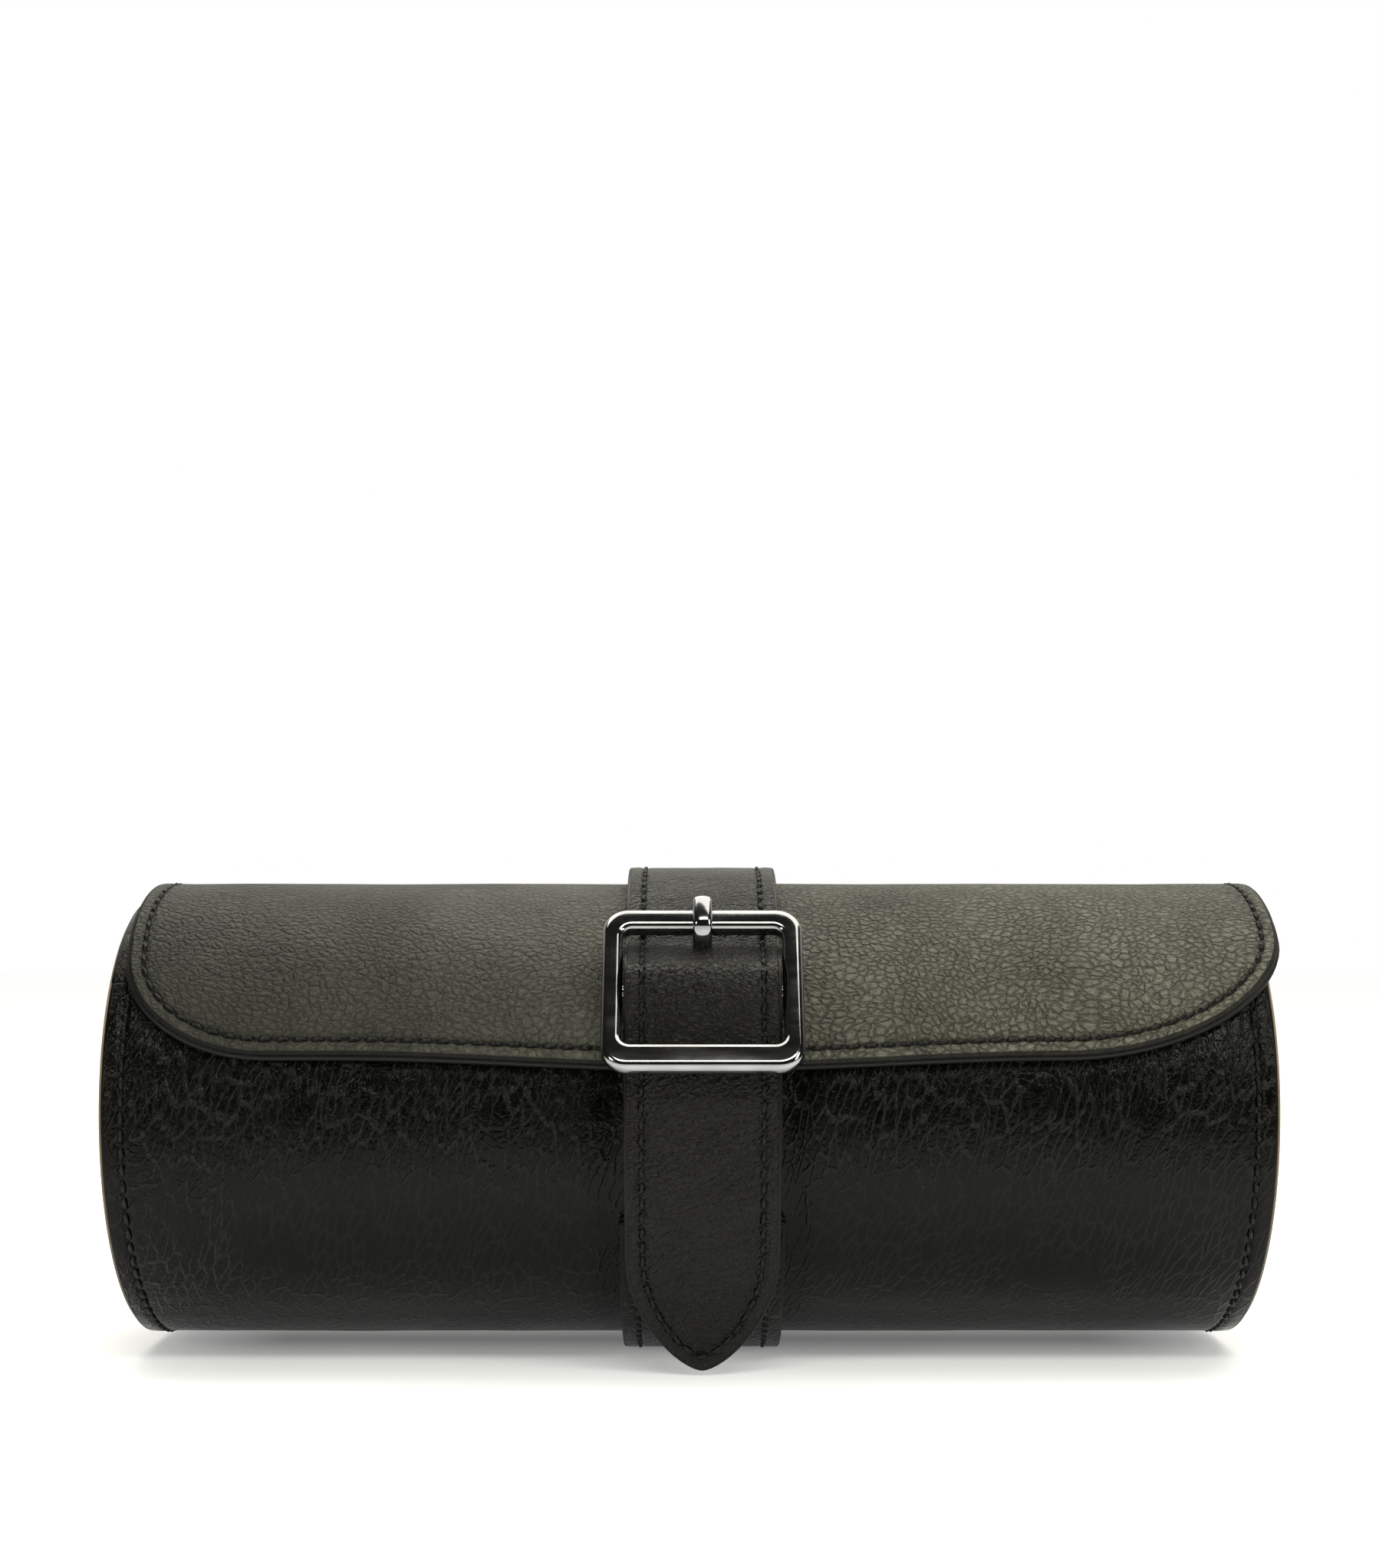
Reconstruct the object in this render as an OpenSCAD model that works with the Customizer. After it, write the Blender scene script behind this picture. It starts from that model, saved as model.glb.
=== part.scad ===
// Watch roll for three watches: a stiff leather barrel that opens along its top, with a lid flap,
// a closing strap, a centre-bar buckle and three lift-out cushions.
// X runs along the roll, the front looks to -Y, and Z is up from the table.
// Angles go round the roll's axis: 0 at the front, 90 at the top and 180 at the back.

/* [Barrel] */
// Length over both end pipings
roll_len = 200; // [170:1:240]
// Outer radius of the leather wrap
wrap_r = 40; // [36:0.5:46]
// Thickness of the wrap's leather
wrap_leather_t = 1.4; // [1:0.1:2]
// Thickness of the stiff board inside the wrap
wrap_board_t = 1.4; // [1:0.1:2]
// Thickness of the suede lining
wrap_lining_t = 1.2; // [0.8:0.1:1.6]
// Angle of the front lip
lip_angle = 40; // [36:1:44]
// Width of the leather turned over the lip
lip_turn = 1.4; // [1:0.1:2]

/* [Ends] */
// Thickness of the suede on the inside of an end
end_lining_t = 1; // [0.8:0.1:1.4]
// Thickness of the board of an end
end_board_t = 2; // [1.5:0.1:3]
// Thickness of the leather on the outside of an end
end_leather_t = 1.4; // [1:0.1:2]
// Depth that the piping stands out past the end's leather
piping_depth = 1.8; // [1.2:0.1:3]
// Radial width of the piping
piping_w = 1.7; // [1.2:0.1:3]
// Step back from the piping's face to the edge of the wrap
edge_step = 0.6; // [0.3:0.1:1]

/* [Flap] */
// Length that the flap is shorter than the roll
flap_short = 2; // [0:0.5:20]
// Distance that the flap and the straps sit to the right of the middle
flap_shift = 2.2; // [0:0.1:3]
// Clearance between the flap and the wrap
flap_gap = 0.3; // [0.2:0.05:0.6]
// Thickness of the flap's leather
flap_leather_t = 1.2; // [0.9:0.1:1.6]
// Thickness of the flap's board
flap_board_t = 0.6; // [0.4:0.1:1]
// Thickness of the flap's lining over the board
flap_lining_t = 0.9; // [0.7:0.1:1.4]
// Angle of the flap's lower edge beside the middle
flap_edge = 18; // [16:0.5:22]
// Distance that the lower edge hangs down at the middle
flap_dip = 2; // [0:0.1:2.2]
// Left corner, measured along the roll
corner_left_x = 25; // [15:1:35]
// Left corner, measured round the roll
corner_left_s = 20; // [14:1:24]
// Right corner, measured along the roll
corner_right_x = 38; // [20:1:45]
// Right corner, measured round the roll
corner_right_s = 25; // [14:1:28]
// Distance that the lining stands out past the leather's edge
flap_lip = 1.2; // [0:0.1:2]
// Margin that the flap's board keeps from the edge
flap_board_margin = 7; // [5:0.5:12]

/* [Fold] */
// Angle of the flap's fold line
fold_angle = 172; // [170:0.5:174]
// Half the angle that the soft fold takes
fold_half = 4; // [3:0.5:5]

/* [Straps] */
// Width of the closing strap
strap_w = 26.4; // [22:0.1:28]
// Thickness of the closing strap's leather
strap_leather_t = 1.6; // [1.2:0.1:2]
// Thickness of the closing strap's lining
strap_lining_t = 1.1; // [0.8:0.1:1.4]
// Angle where the closing strap comes free of the flap
strap_free_angle = 138; // [130:1:150]
// Angle where the sewn end of the closing strap stops
anchor_end_angle = 166; // [160:1:166]
// Angle where the tail leaves the barrel
tail_angle = -18; // [-20:1:-12]
// Straight length of the tail
tail_len = 29.2; // [20:0.1:30]
// Length of the tail's point
point_len = 22; // [14:1:24]
// Width of the under strap
under_w = 28.4; // [26:0.1:32]
// Thickness of the under strap's leather
under_leather_t = 1.6; // [1.2:0.1:2]
// Thickness of the under strap's backing
under_backing_t = 1.3; // [0.8:0.1:1.6]
// Depth that the table has pressed the under strap flat
press_depth = 0.7; // [0.4:0.1:1]
// Angle where the under strap stops at the back
under_back_angle = -164; // [-168:1:-150]
// Angle where the chape folds forward off the barrel
chape_angle = -20; // [-24:1:-18]
// Width of the chape
chape_w = 25; // [20:0.5:26]
// Thickness of the chape
chape_t = 1.2; // [1:0.1:1.4]
// Width of the slot in the chape for the prong
chape_slot = 5; // [4.4:0.1:8]

/* [Buckle] */
// Gap between the closing strap's edge and the side of the buckle's window
window_gap = 0.25; // [0.15:0.05:0.8]
// Height of the buckle's window
window_h = 21.8; // [20:0.1:24]
// Width of the side bars
side_bar = 3.5; // [3:0.1:5]
// Width of the top and bottom bars
cross_bar = 4.2; // [3:0.1:5]
// Thickness of the frame
frame_t = 3.2; // [2.6:0.1:3.4]
// Bevel round the frame's edges
frame_bevel = 0.8; // [0.4:0.1:1]
// Radius of the window's corners
window_corner = 1.5; // [1:0.1:3]
// Radius of the frame's outer corners
frame_corner = 4.4; // [3:0.1:6]
// Radius of the centre bar
bar_r = 1.1; // [0.9:0.05:1.2]
// Clearance of the bar in the prong and in the frame
bar_gap = 0.05; // [0.02:0.01:0.1]
// Width of the prong
prong_w = 3.3; // [2.4:0.1:4]
// Thickness of the prong
prong_t = 2; // [1.4:0.1:2.1]
// Radius of the prong's eye
eye_r = 2.2; // [1.9:0.05:2.3]
// Angle of the buckle's middle round the roll
buckle_angle = 32; // [31:0.5:33]
// Tilt of the buckle's face
buckle_tilt = 36; // [35:0.5:37]

/* [Seams] */
// Width of a thread row
thread_w = 0.7; // [0.4:0.1:1]
// Height that a thread row stands proud
thread_proud = 0.15; // [0.1:0.05:0.2]
// Depth that a thread row is sunk
thread_sunk = 0.25; // [0.1:0.05:0.4]
// Distance from the barrel's ends to the thread rows
end_margin = 3.9; // [3:0.1:5]
// Distance from the flap leather's edge to the thread row
flap_margin = 2.4; // [1.6:0.1:4]
// Distance from a strap's edge to the thread row
edge_margin = 3; // [2.4:0.1:4]

/* [Inside] */
// Number of compartments
compartments = 3; // [1:1:4]
// Thickness of a divider
divider_t = 2.4; // [2:0.1:4]
// Thickness of the suede on a divider
divider_skin = 0.7; // [0.5:0.1:0.9]
// Height of a divider's top edge above the axis
divider_top = 14; // [8:1:18]
// Length of a cushion along the roll
cushion_len = 54; // [30:1:56]
// Width of a cushion from front to back
cushion_w = 51; // [40:1:53]
// Height of a cushion
cushion_h = 46; // [36:1:47]
// Clearance under a cushion
cushion_gap = 0.3; // [0.2:0.1:0.6]
// Thickness of a cushion's cover
cover_t = 1.2; // [0.8:0.1:2]

/* [Hidden] */
$fn = 180;
flap_in = wrap_r + flap_gap;
flap_mid = flap_in + flap_lining_t;
flap_leather_in = flap_mid + flap_board_t;
flap_out = flap_leather_in + flap_leather_t;
wrap_board_r = wrap_r - wrap_leather_t;
wrap_lining_r = wrap_board_r - wrap_board_t;
inner_r = wrap_lining_r - wrap_lining_t;
under_r = wrap_r + under_backing_t + under_leather_t;
axis_z = under_r - press_depth;
wrap_back = fold_angle + fold_half - 360;
flap_back = fold_angle - fold_half;
wrap_half = roll_len / 2 - edge_step;
end_out = roll_len / 2 - piping_depth;
end_mid = end_out - end_leather_t;
end_in = end_mid - end_board_t;
inner_half = end_in - end_lining_t;
part_gap = 0.25;
// The strap fits the buckle's window
window_w = strap_w + 2 * window_gap;
strap_t = strap_leather_t + strap_lining_t;
strap_r = flap_out + part_gap + strap_t / 2;
tail_r = under_r + part_gap + strap_t / 2;
chape_low_r = wrap_r + part_gap;
chape_high_r = flap_out + part_gap;
strap_x = flap_shift;

// Buckle plane: its own axes are X along the roll, t up the frame and n out of the frame's face
bar_seat = 0.2;
loop_r = bar_r + bar_seat + chape_t;
bar_place_r = chape_high_r + loop_r;
frame_rise = 2;
frame_r = bar_place_r + frame_rise;
frame_n0 = frame_r * cos(buckle_angle - buckle_tilt);
frame_t0 = frame_r * sin(buckle_angle - buckle_tilt);
bar_t = bar_place_r * sin(buckle_angle - buckle_tilt) - frame_t0;
bar_n = bar_place_r * cos(buckle_angle - buckle_tilt) - frame_n0;
crest_n = bar_n + loop_r + part_gap + strap_t / 2;
window_half = window_h / 2;
frame_half = window_half + cross_bar;
half_t = frame_t / 2;
under_bar_n = -half_t - strap_t / 2 - 0.55;

// The flap's outline in its flat form: along the roll, and as arc length above the front line
flap_w = roll_len - flap_short;
flap_left = flap_shift - flap_w / 2;
flap_right = flap_shift + flap_w / 2;
flap_s = flap_edge * PI / 180 * flap_out;
flap_low = flap_edge - flap_dip * 180 / PI / flap_out;
dip_half = 62;

// Dividers and cushions
pitch = (2 * inner_half - (compartments - 1) * divider_t) / compartments + divider_t;
cushion_z = axis_z - inner_r + cushion_gap + cushion_h / 2;

// Place of a radius and an angle, as [y, z]
function polar(r, a) = [-r * cos(a), axis_z + r * sin(a)];
// Place of a point of the buckle plane, as [y, z]
function on_buckle(t, n) = [
    -(frame_n0 + n) * cos(buckle_tilt) + (frame_t0 + t) * sin(buckle_tilt),
    axis_z + (frame_n0 + n) * sin(buckle_tilt) + (frame_t0 + t) * cos(buckle_tilt)];
// Radius and angle of a [y, z] place
function radius_of(p) = norm([p[0], p[1] - axis_z]);
function angle_of(p) = atan2(p[1] - axis_z, -p[0]);

function unit(v) = v / norm(v);
function spline(a, b, c, d, u) = 0.5 * (2 * b + (c - a) * u + (2 * a - 5 * b + 4 * c - d) * u * u
    + (3 * b - a - 3 * c + d) * u * u * u);
// A smooth path through the points, with their ends kept
function smooth(p, n) = [
    for (i = [0 : len(p) - 2]) for (k = [0 : n - 1])
        spline(p[max(i - 1, 0)], p[i], p[i + 1], p[min(i + 2, len(p) - 1)], k / n),
    p[len(p) - 1]];
// Normal of a path at a point: to the left of the way along it
function normal(p, i) = let (d = unit(p[min(i + 1, len(p) - 1)] - p[max(i - 1, 0)])) [-d[1], d[0]];
function shifted(p, o) = [for (i = [0 : len(p) - 1]) p[i] + o * normal(p, i)];
function reversed(p) = [for (i = [len(p) - 1 : -1 : 0]) p[i]];

// The closing strap's middle line, from its free start over the top and through the buckle to its tip
top_steps = 22;
top_end = buckle_angle + 20;
strap_top = [for (i = [0 : top_steps - 1])
    polar(strap_r, strap_free_angle + (top_end - strap_free_angle) * i / top_steps)];
bar_half = window_half + cross_bar / 2;
strap_buckle = [polar(strap_r, top_end),
    on_buckle(bar_half, sqrt(pow(strap_r, 2) - pow(frame_t0 + bar_half, 2)) - frame_n0),
    on_buckle(window_half, under_bar_n - 0.2),
    on_buckle(window_half * 0.74, crest_n - 4.3),
    on_buckle(window_half * 0.36, crest_n - 1.5),
    on_buckle(0.8, crest_n),
    on_buckle(-window_half * 0.28, crest_n - 1),
    on_buckle(-window_half * 0.64, crest_n - 3.3)];
strap_exit = on_buckle(-window_half, under_bar_n);
tail_steps = 6;
tail_bow = [for (i = [0 : tail_steps]) let (u = 1 - i / tail_steps)
    polar(tail_r + (radius_of(strap_exit) - tail_r) * u * u, tail_angle + (angle_of(strap_exit) - tail_angle) * u)];
tail_tip = polar(tail_r, tail_angle) + tail_len * [-sin(tail_angle), -cos(tail_angle)];
strap_path = concat(strap_top, smooth(concat(strap_buckle, tail_bow), 3), [tail_tip]);

// The chape rises over the flap's edge, and gets thinner there
rise_from = -5;
rise_to = flap_low - 0.3;
chape_from = chape_angle + 0.2;
chape_angles = concat([for (i = [0 : 12]) chape_from + (rise_to - chape_from) * i / 12],
    [for (i = [1 : 6]) rise_to + (buckle_angle - rise_to) * i / 6]);
function rise(a) = pow(min(1, max(0, (a - rise_from) / (rise_to - rise_from))), 1.5);
chape_inner = [for (a = chape_angles) polar(chape_low_r + (chape_high_r - chape_low_r) * rise(a), a)];
chape_outer = [for (a = chape_angles) polar(under_r + (chape_high_r + chape_t - under_r) * rise(a), a)];
// Its end comes back round the bar and is sewn down on it: [angle below the bar, height over the thin part]
chape_back = [for (p = [[0, 2 * loop_r], [2.6, 2 * loop_r - 0.5], [5, chape_t + 1.9], [7.5, chape_t + 1.3],
        [9.5, chape_t + 1.1], [10, chape_t + 0.3], [10, chape_t / 2], [0, chape_t / 2]])
    polar(chape_high_r + p[1], buckle_angle - p[0])];

module along_x(from, to) {
    translate([from, 0, 0]) rotate([90, 0, 90]) linear_extrude(to - from) children();
}

// A sector of a ring in the roll's cross-section
module arc2d(r_in, r_out, from, to) {
    spread = 2 * r_out;
    fan = [for (i = [0 : 12]) let (a = from + (to - from) * i / 12) [-spread * cos(a), spread * sin(a)]];
    translate([0, axis_z]) difference() {
        intersection() {
            circle(r_out);
            polygon(concat([[0, 0]], fan));
        }
        circle(r_in);
    }
}

// A strip between two offsets of a path
module strip2d(path, low, high) {
    polygon(concat(shifted(path, low), reversed(shifted(path, high))));
}

module in_buckle_plane() {
    c = on_buckle(0, 0);
    translate([strap_x, c[0], c[1]]) rotate([90 - buckle_tilt, 0, 0]) children();
}

// The flap's front outline with a margin
function low_edge(x, m) = let (u = min(1, abs(x - flap_shift) / dip_half))
    flap_s + m - flap_dip * (0.5 + 0.5 * cos(180 * u));
function corner(x, side, rx, rs, m, from, to) = [for (i = [0 : 10]) let (a = from + (to - from) * i / 10)
    [x + side * (rx - m) * cos(a), flap_s + rs - (rs - m) * sin(a)]];
function flap_outline(m) = concat(
    corner(flap_left + corner_left_x, -1, corner_left_x, corner_left_s, m, 0, 90),
    [for (i = [1 : 15]) let (x = flap_left + corner_left_x
        + (flap_w - corner_left_x - corner_right_x) * i / 16) [x, low_edge(x, m)]],
    corner(flap_right - corner_right_x, 1, corner_right_x, corner_right_s, m, 90, 0));

// Everything in front of the roll that lies outside that outline
module front_cut(m) {
    reach = 60;
    far = roll_len;
    outline = [for (p = flap_outline(m)) [p[0], axis_z + flap_out * sin(p[1] * 180 / PI / flap_out)]];
    rotate([90, 0, 0]) linear_extrude(reach) polygon(concat(
        [[-far, -reach], [-far, outline[0][1]]], outline, [[far, outline[len(outline) - 1][1]], [far, -reach]]));
}

module flap_shell(r_in, r_out, m) {
    difference() {
        along_x(flap_left + m, flap_right - m) arc2d(r_in, r_out, flap_low - 3, flap_back);
        front_cut(m);
    }
}

// Rows of thread: sunk in their leather by the depth that the groove has
module ring_row(x, r, from, to) {
    along_x(x - thread_w / 2, x + thread_w / 2) arc2d(r - thread_sunk, r + thread_proud, from, to);
}

module wrap_rows() {
    for (side = [-1, 1])
        ring_row(side * (roll_len / 2 - end_margin), wrap_r, wrap_back, lip_angle - 3);
    row = thread_w * 180 / PI / wrap_r;
    along_x(end_margin - roll_len / 2 + thread_w, roll_len / 2 - end_margin - thread_w)
        arc2d(wrap_r - thread_sunk, wrap_r + thread_proud, lip_angle - 3 - row, lip_angle - 3);
}

module wrap_leather() {
    color([0.13, 0.13, 0.12]) difference() {
        union() {
            along_x(-wrap_half, wrap_half) arc2d(wrap_board_r, wrap_r, wrap_back, lip_angle);
            along_x(-inner_half, inner_half)
                arc2d(wrap_lining_r, wrap_r, lip_angle - lip_turn * 180 / PI / wrap_r, lip_angle);
        }
        wrap_rows();
    }
}

module wrap_board() {
    color([0.45, 0.4, 0.33]) along_x(-inner_half, inner_half)
        arc2d(wrap_lining_r, wrap_board_r, wrap_back, lip_angle - lip_turn * 180 / PI / wrap_r);
}

module wrap_lining() {
    color([0.62, 0.52, 0.4]) along_x(-inner_half, inner_half)
        arc2d(inner_r, wrap_lining_r, wrap_back, lip_angle);
}

module wrap_seams() {
    color([0.04, 0.04, 0.04]) wrap_rows();
}

// A slice of an end: side is -1 for the left and 1 for the right
module end_disc(side, from, to) {
    along_x(min(side * from, side * to), max(side * from, side * to))
        translate([0, axis_z]) circle(wrap_board_r);
}

module end_leather(side) {
    color([0.12, 0.12, 0.11]) end_disc(side, end_mid, end_out);
}

module end_board(side) {
    color([0.45, 0.4, 0.33]) end_disc(side, end_in, end_mid);
}

module end_lining(side) {
    color([0.62, 0.52, 0.4]) end_disc(side, inner_half, end_in);
}

module end_binding(side) {
    color([0.13, 0.13, 0.12]) along_x(side > 0 ? inner_half : -wrap_half, side > 0 ? wrap_half : -inner_half)
        arc2d(wrap_board_r, wrap_r, lip_angle, flap_back - 1);
}

module end_piping(side) {
    color([0.55, 0.44, 0.3]) along_x(side > 0 ? end_out : -roll_len / 2, side > 0 ? roll_len / 2 : -end_out)
        translate([0, axis_z]) difference() {
            circle(wrap_board_r);
            circle(wrap_board_r - piping_w);
        }
}

// Dividers stand in the lining, evenly spaced
function divider_x(i) = (i - (compartments - 2) / 2) * pitch;

module divider_form(half, inset) {
    along_x(-half, half) intersection() {
        translate([0, axis_z]) circle(inner_r - inset);
        translate([-inner_r, axis_z - inner_r]) square([2 * inner_r, inner_r + divider_top - inset]);
    }
}

module divider(i) {
    color([0.6, 0.5, 0.38]) translate([divider_x(i), 0, 0]) difference() {
        divider_form(divider_t / 2, 0);
        divider_form(divider_t / 2 - divider_skin, divider_skin);
    }
}

module divider_board(i) {
    color([0.45, 0.4, 0.33]) translate([divider_x(i), 0, 0])
        divider_form(divider_t / 2 - divider_skin, divider_skin);
}

// Everything below the table's height is pressed flat
module above_table() {
    intersection() {
        children();
        translate([-roll_len, -roll_len, 0]) cube(2 * roll_len);
    }
}

module under_rows() {
    for (side = [-1, 1])
        ring_row(strap_x + side * (under_w / 2 - edge_margin), under_r, under_back_angle + 1, chape_angle - 1);
}

module under_strap() {
    color([0.13, 0.13, 0.12]) above_table() difference() {
        along_x(strap_x - under_w / 2, strap_x + under_w / 2)
            arc2d(wrap_r + under_backing_t, under_r, under_back_angle, chape_angle - 0.2);
        under_rows();
    }
}

module under_strap_backing() {
    color([0.2, 0.19, 0.17]) along_x(strap_x - under_w / 2, strap_x + under_w / 2)
        arc2d(wrap_r, wrap_r + under_backing_t, under_back_angle, chape_angle - 0.2);
}

module under_strap_seam() {
    color([0.04, 0.04, 0.04]) above_table() under_rows();
}

// Soft fold at the back: a strip whose radii run from the wrap's to the flap's
module fold(x_from, x_to, wrap_low, wrap_high, flap_low_r, flap_high_r) {
    a0 = wrap_back + 360 - 0.2;
    a1 = flap_back + 0.2;
    rim = [for (i = [0 : 8]) let (u = i / 8, s = u * u * (3 - 2 * u))
        [a0 + (a1 - a0) * u, wrap_low + (flap_low_r - wrap_low) * s, wrap_high + (flap_high_r - wrap_high) * s]];
    along_x(x_from, x_to)
        polygon(concat([for (p = rim) polar(p[1], p[0])], reversed([for (p = rim) polar(p[2], p[0])])));
}

module fold_leather() {
    color([0.13, 0.13, 0.12])
        fold(flap_left + flap_lip, wrap_half, wrap_board_r, wrap_r, flap_leather_in, flap_out);
}

module fold_lining() {
    color([0.62, 0.52, 0.4])
        fold(-inner_half + 0.3, inner_half - 0.3, inner_r, wrap_lining_r, flap_in, flap_mid);
}

// The thread row inside the flap's edge
module flap_row() {
    row = flap_lip + flap_margin;
    difference() {
        flap_shell(flap_out - thread_sunk, flap_out + thread_proud, row - thread_w / 2);
        flap_shell(flap_out - 1, flap_out + 1, row + thread_w / 2);
    }
}

module flap_leather() {
    color([0.2, 0.2, 0.18]) difference() {
        flap_shell(flap_leather_in, flap_out, flap_lip);
        flap_row();
    }
}

module board_room() {
    difference() {
        flap_shell(flap_mid, flap_leather_in, flap_board_margin);
        translate([-roll_len, 0, 0]) cube([2 * roll_len, 2 * roll_len, polar(flap_mid, flap_back - 8)[1]]);
    }
}

module flap_board() {
    color([0.45, 0.4, 0.33]) board_room();
}

module flap_lining() {
    color([0.16, 0.15, 0.13]) difference() {
        flap_shell(flap_in, flap_leather_in, 0);
        board_room();
    }
}

module flap_seam() {
    color([0.04, 0.04, 0.04]) flap_row();
}

// The sewn end of the closing strap, on the flap's back
module anchor_rows() {
    for (side = [-1, 1])
        ring_row(strap_x + side * (strap_w / 2 - edge_margin), flap_out + strap_t,
            strap_free_angle + 3, anchor_end_angle - 3);
    for (a = [strap_free_angle + 3, anchor_end_angle - 3])
        along_x(strap_x - strap_w / 2 + edge_margin, strap_x + strap_w / 2 - edge_margin)
            arc2d(flap_out + strap_t - thread_sunk, flap_out + strap_t + thread_proud,
                a - thread_w * 90 / PI / flap_out, a + thread_w * 90 / PI / flap_out);
}

module strap_anchor() {
    color([0.2, 0.2, 0.18]) difference() {
        along_x(strap_x - strap_w / 2, strap_x + strap_w / 2)
            arc2d(flap_out, flap_out + strap_t, strap_free_angle + 0.3, anchor_end_angle);
        anchor_rows();
    }
}

module anchor_seam() {
    color([0.04, 0.04, 0.04]) anchor_rows();
}

// Half-width of the tail's outline at a distance from its tip, with a margin
function point_half(d, m) = let (u = min(1, max(0, (d - m) / (point_len - m))))
    (strap_w / 2 - m) * pow(sin(90 * u), 0.62);

// The tail's outline beyond its straight sides, drawn in its own plane: X across, Y up from the tip
module point_rest(m) {
    top = point_len;
    half = strap_w;
    right = [for (i = [0 : 24]) let (d = m + (top - m) * (1 - cos(90 * i / 24))) [point_half(d, m), d]];
    difference() {
        translate([-half, -point_len]) square([2 * half, point_len + top]);
        polygon(concat(right, reversed([for (p = right) [-p[0], p[1]]])));
    }
}

module cut_to_point(m) {
    difference() {
        children();
        translate([strap_x, tail_tip[0], tail_tip[1]]) rotate([90 - tail_angle, 0, 0])
            translate([0, 0, -strap_t * 2]) linear_extrude(strap_t * 4) point_rest(m);
    }
}

// The closing strap between two offsets of its middle line, with a margin at its sides
module strap_layer(low, high, m) {
    cut_to_point(m) along_x(strap_x - strap_w / 2 + m, strap_x + strap_w / 2 - m)
        strip2d(strap_path, low, high);
}

module strap_rows() {
    outer = -strap_t / 2 - thread_proud;
    inner = -strap_t / 2 + thread_sunk;
    difference() {
        strap_layer(outer, inner, edge_margin - thread_w / 2);
        strap_layer(outer - 1, inner + 1, edge_margin + thread_w / 2);
    }
}

module strap_leather() {
    color([0.18, 0.18, 0.16]) difference() {
        strap_layer(-strap_t / 2, -strap_t / 2 + strap_leather_t, 0);
        strap_rows();
        prong_form(prong_gap);
    }
}

module strap_lining() {
    color([0.1, 0.1, 0.09]) difference() {
        strap_layer(-strap_t / 2 + strap_leather_t, strap_t / 2, 0);
        prong_form(prong_gap);
    }
}

module strap_seam() {
    color([0.04, 0.04, 0.04]) strap_rows();
}

// The prong: an eye on the centre bar, a shank through the strap and a tip bent over the top bar
prong_gap = 0.25;
prong_in = window_half - prong_t / 2;
prong_out = half_t + prong_t / 2;
prong_line = [[bar_t + eye_r * 0.75, bar_n + 0.15], [window_half * 0.4, bar_n - 0.2],
    [window_half * 0.66, bar_n - 0.1], [prong_in - 1.3, -half_t + 0.3], [prong_in - 0.55, half_t * 0.5],
    [window_half - 0.35, prong_out - 0.1], [window_half + 1.1, prong_out + 0.35],
    [frame_half + 0.2, prong_out + 0.25], [frame_half + 2, prong_out - 0.4]];

module prong_form(gap) {
    line = smooth(prong_line, 3);
    in_buckle_plane() rotate([90, 0, 90]) translate([0, 0, -prong_w / 2 - gap]) linear_extrude(prong_w + 2 * gap)
        polygon(concat(shifted(line, -prong_t / 2 - gap), reversed(shifted(line, prong_t / 2 + gap))));
}

module prong() {
    color([0.3, 0.3, 0.31]) difference() {
        union() {
            prong_form(0);
            in_buckle_plane() rotate([90, 0, 90]) translate([bar_t, bar_n, -prong_w / 2])
                cylinder(h = prong_w, r = eye_r);
        }
        in_buckle_plane() rotate([90, 0, 90]) translate([bar_t, bar_n, -prong_w])
            cylinder(h = 2 * prong_w, r = bar_r + bar_gap);
    }
}

module centre_bar() {
    color([0.32, 0.32, 0.33]) in_buckle_plane() rotate([90, 0, 90])
        translate([bar_t, bar_n, -window_w / 2 - side_bar / 2])
            cylinder(h = window_w + side_bar, r = bar_r);
}

module rounded(w, h, r) {
    $fn = 32;
    for (i = [0, 1]) square([w - 2 * r * i, h - 2 * r * (1 - i)], center = true);
    for (x = [-1, 1], y = [-1, 1]) translate([x * (w / 2 - r), y * (h / 2 - r)]) circle(r);
}

module frame_slab(w, h, r, from, to, grow) {
    translate([0, 0, from]) linear_extrude(to - from) rounded(w + 2 * grow, h + 2 * grow, r + grow);
}

module buckle_frame() {
    w = window_w + 2 * side_bar;
    h = window_h + 2 * cross_bar;
    b = frame_bevel;
    lug_low = bar_n - bar_r - 0.9;
    color([0.3, 0.3, 0.31]) in_buckle_plane() difference() {
        union() {
            hull() {
                frame_slab(w, h, frame_corner, -half_t, half_t, -b);
                frame_slab(w, h, frame_corner, b - half_t, half_t - b, 0);
            }
            for (side = [-1, 1]) translate([side * (window_w + side_bar) / 2, 0, (lug_low - half_t + b) / 2])
                cube([side_bar, 2 * eye_r + 0.4, -half_t + b - lug_low], center = true);
        }
        frame_slab(window_w, window_h, window_corner, lug_low - 1, half_t + 1, 0);
        hull() {
            frame_slab(window_w, window_h, window_corner, half_t - b, half_t + 1, 0);
            frame_slab(window_w, window_h, window_corner, half_t + 0.5, half_t + 1, b);
        }
        rotate([90, 0, 90]) translate([bar_t, bar_n, -window_w / 2 - side_bar / 2])
            cylinder(h = window_w + side_bar, r = bar_r + bar_gap);
    }
}

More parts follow.
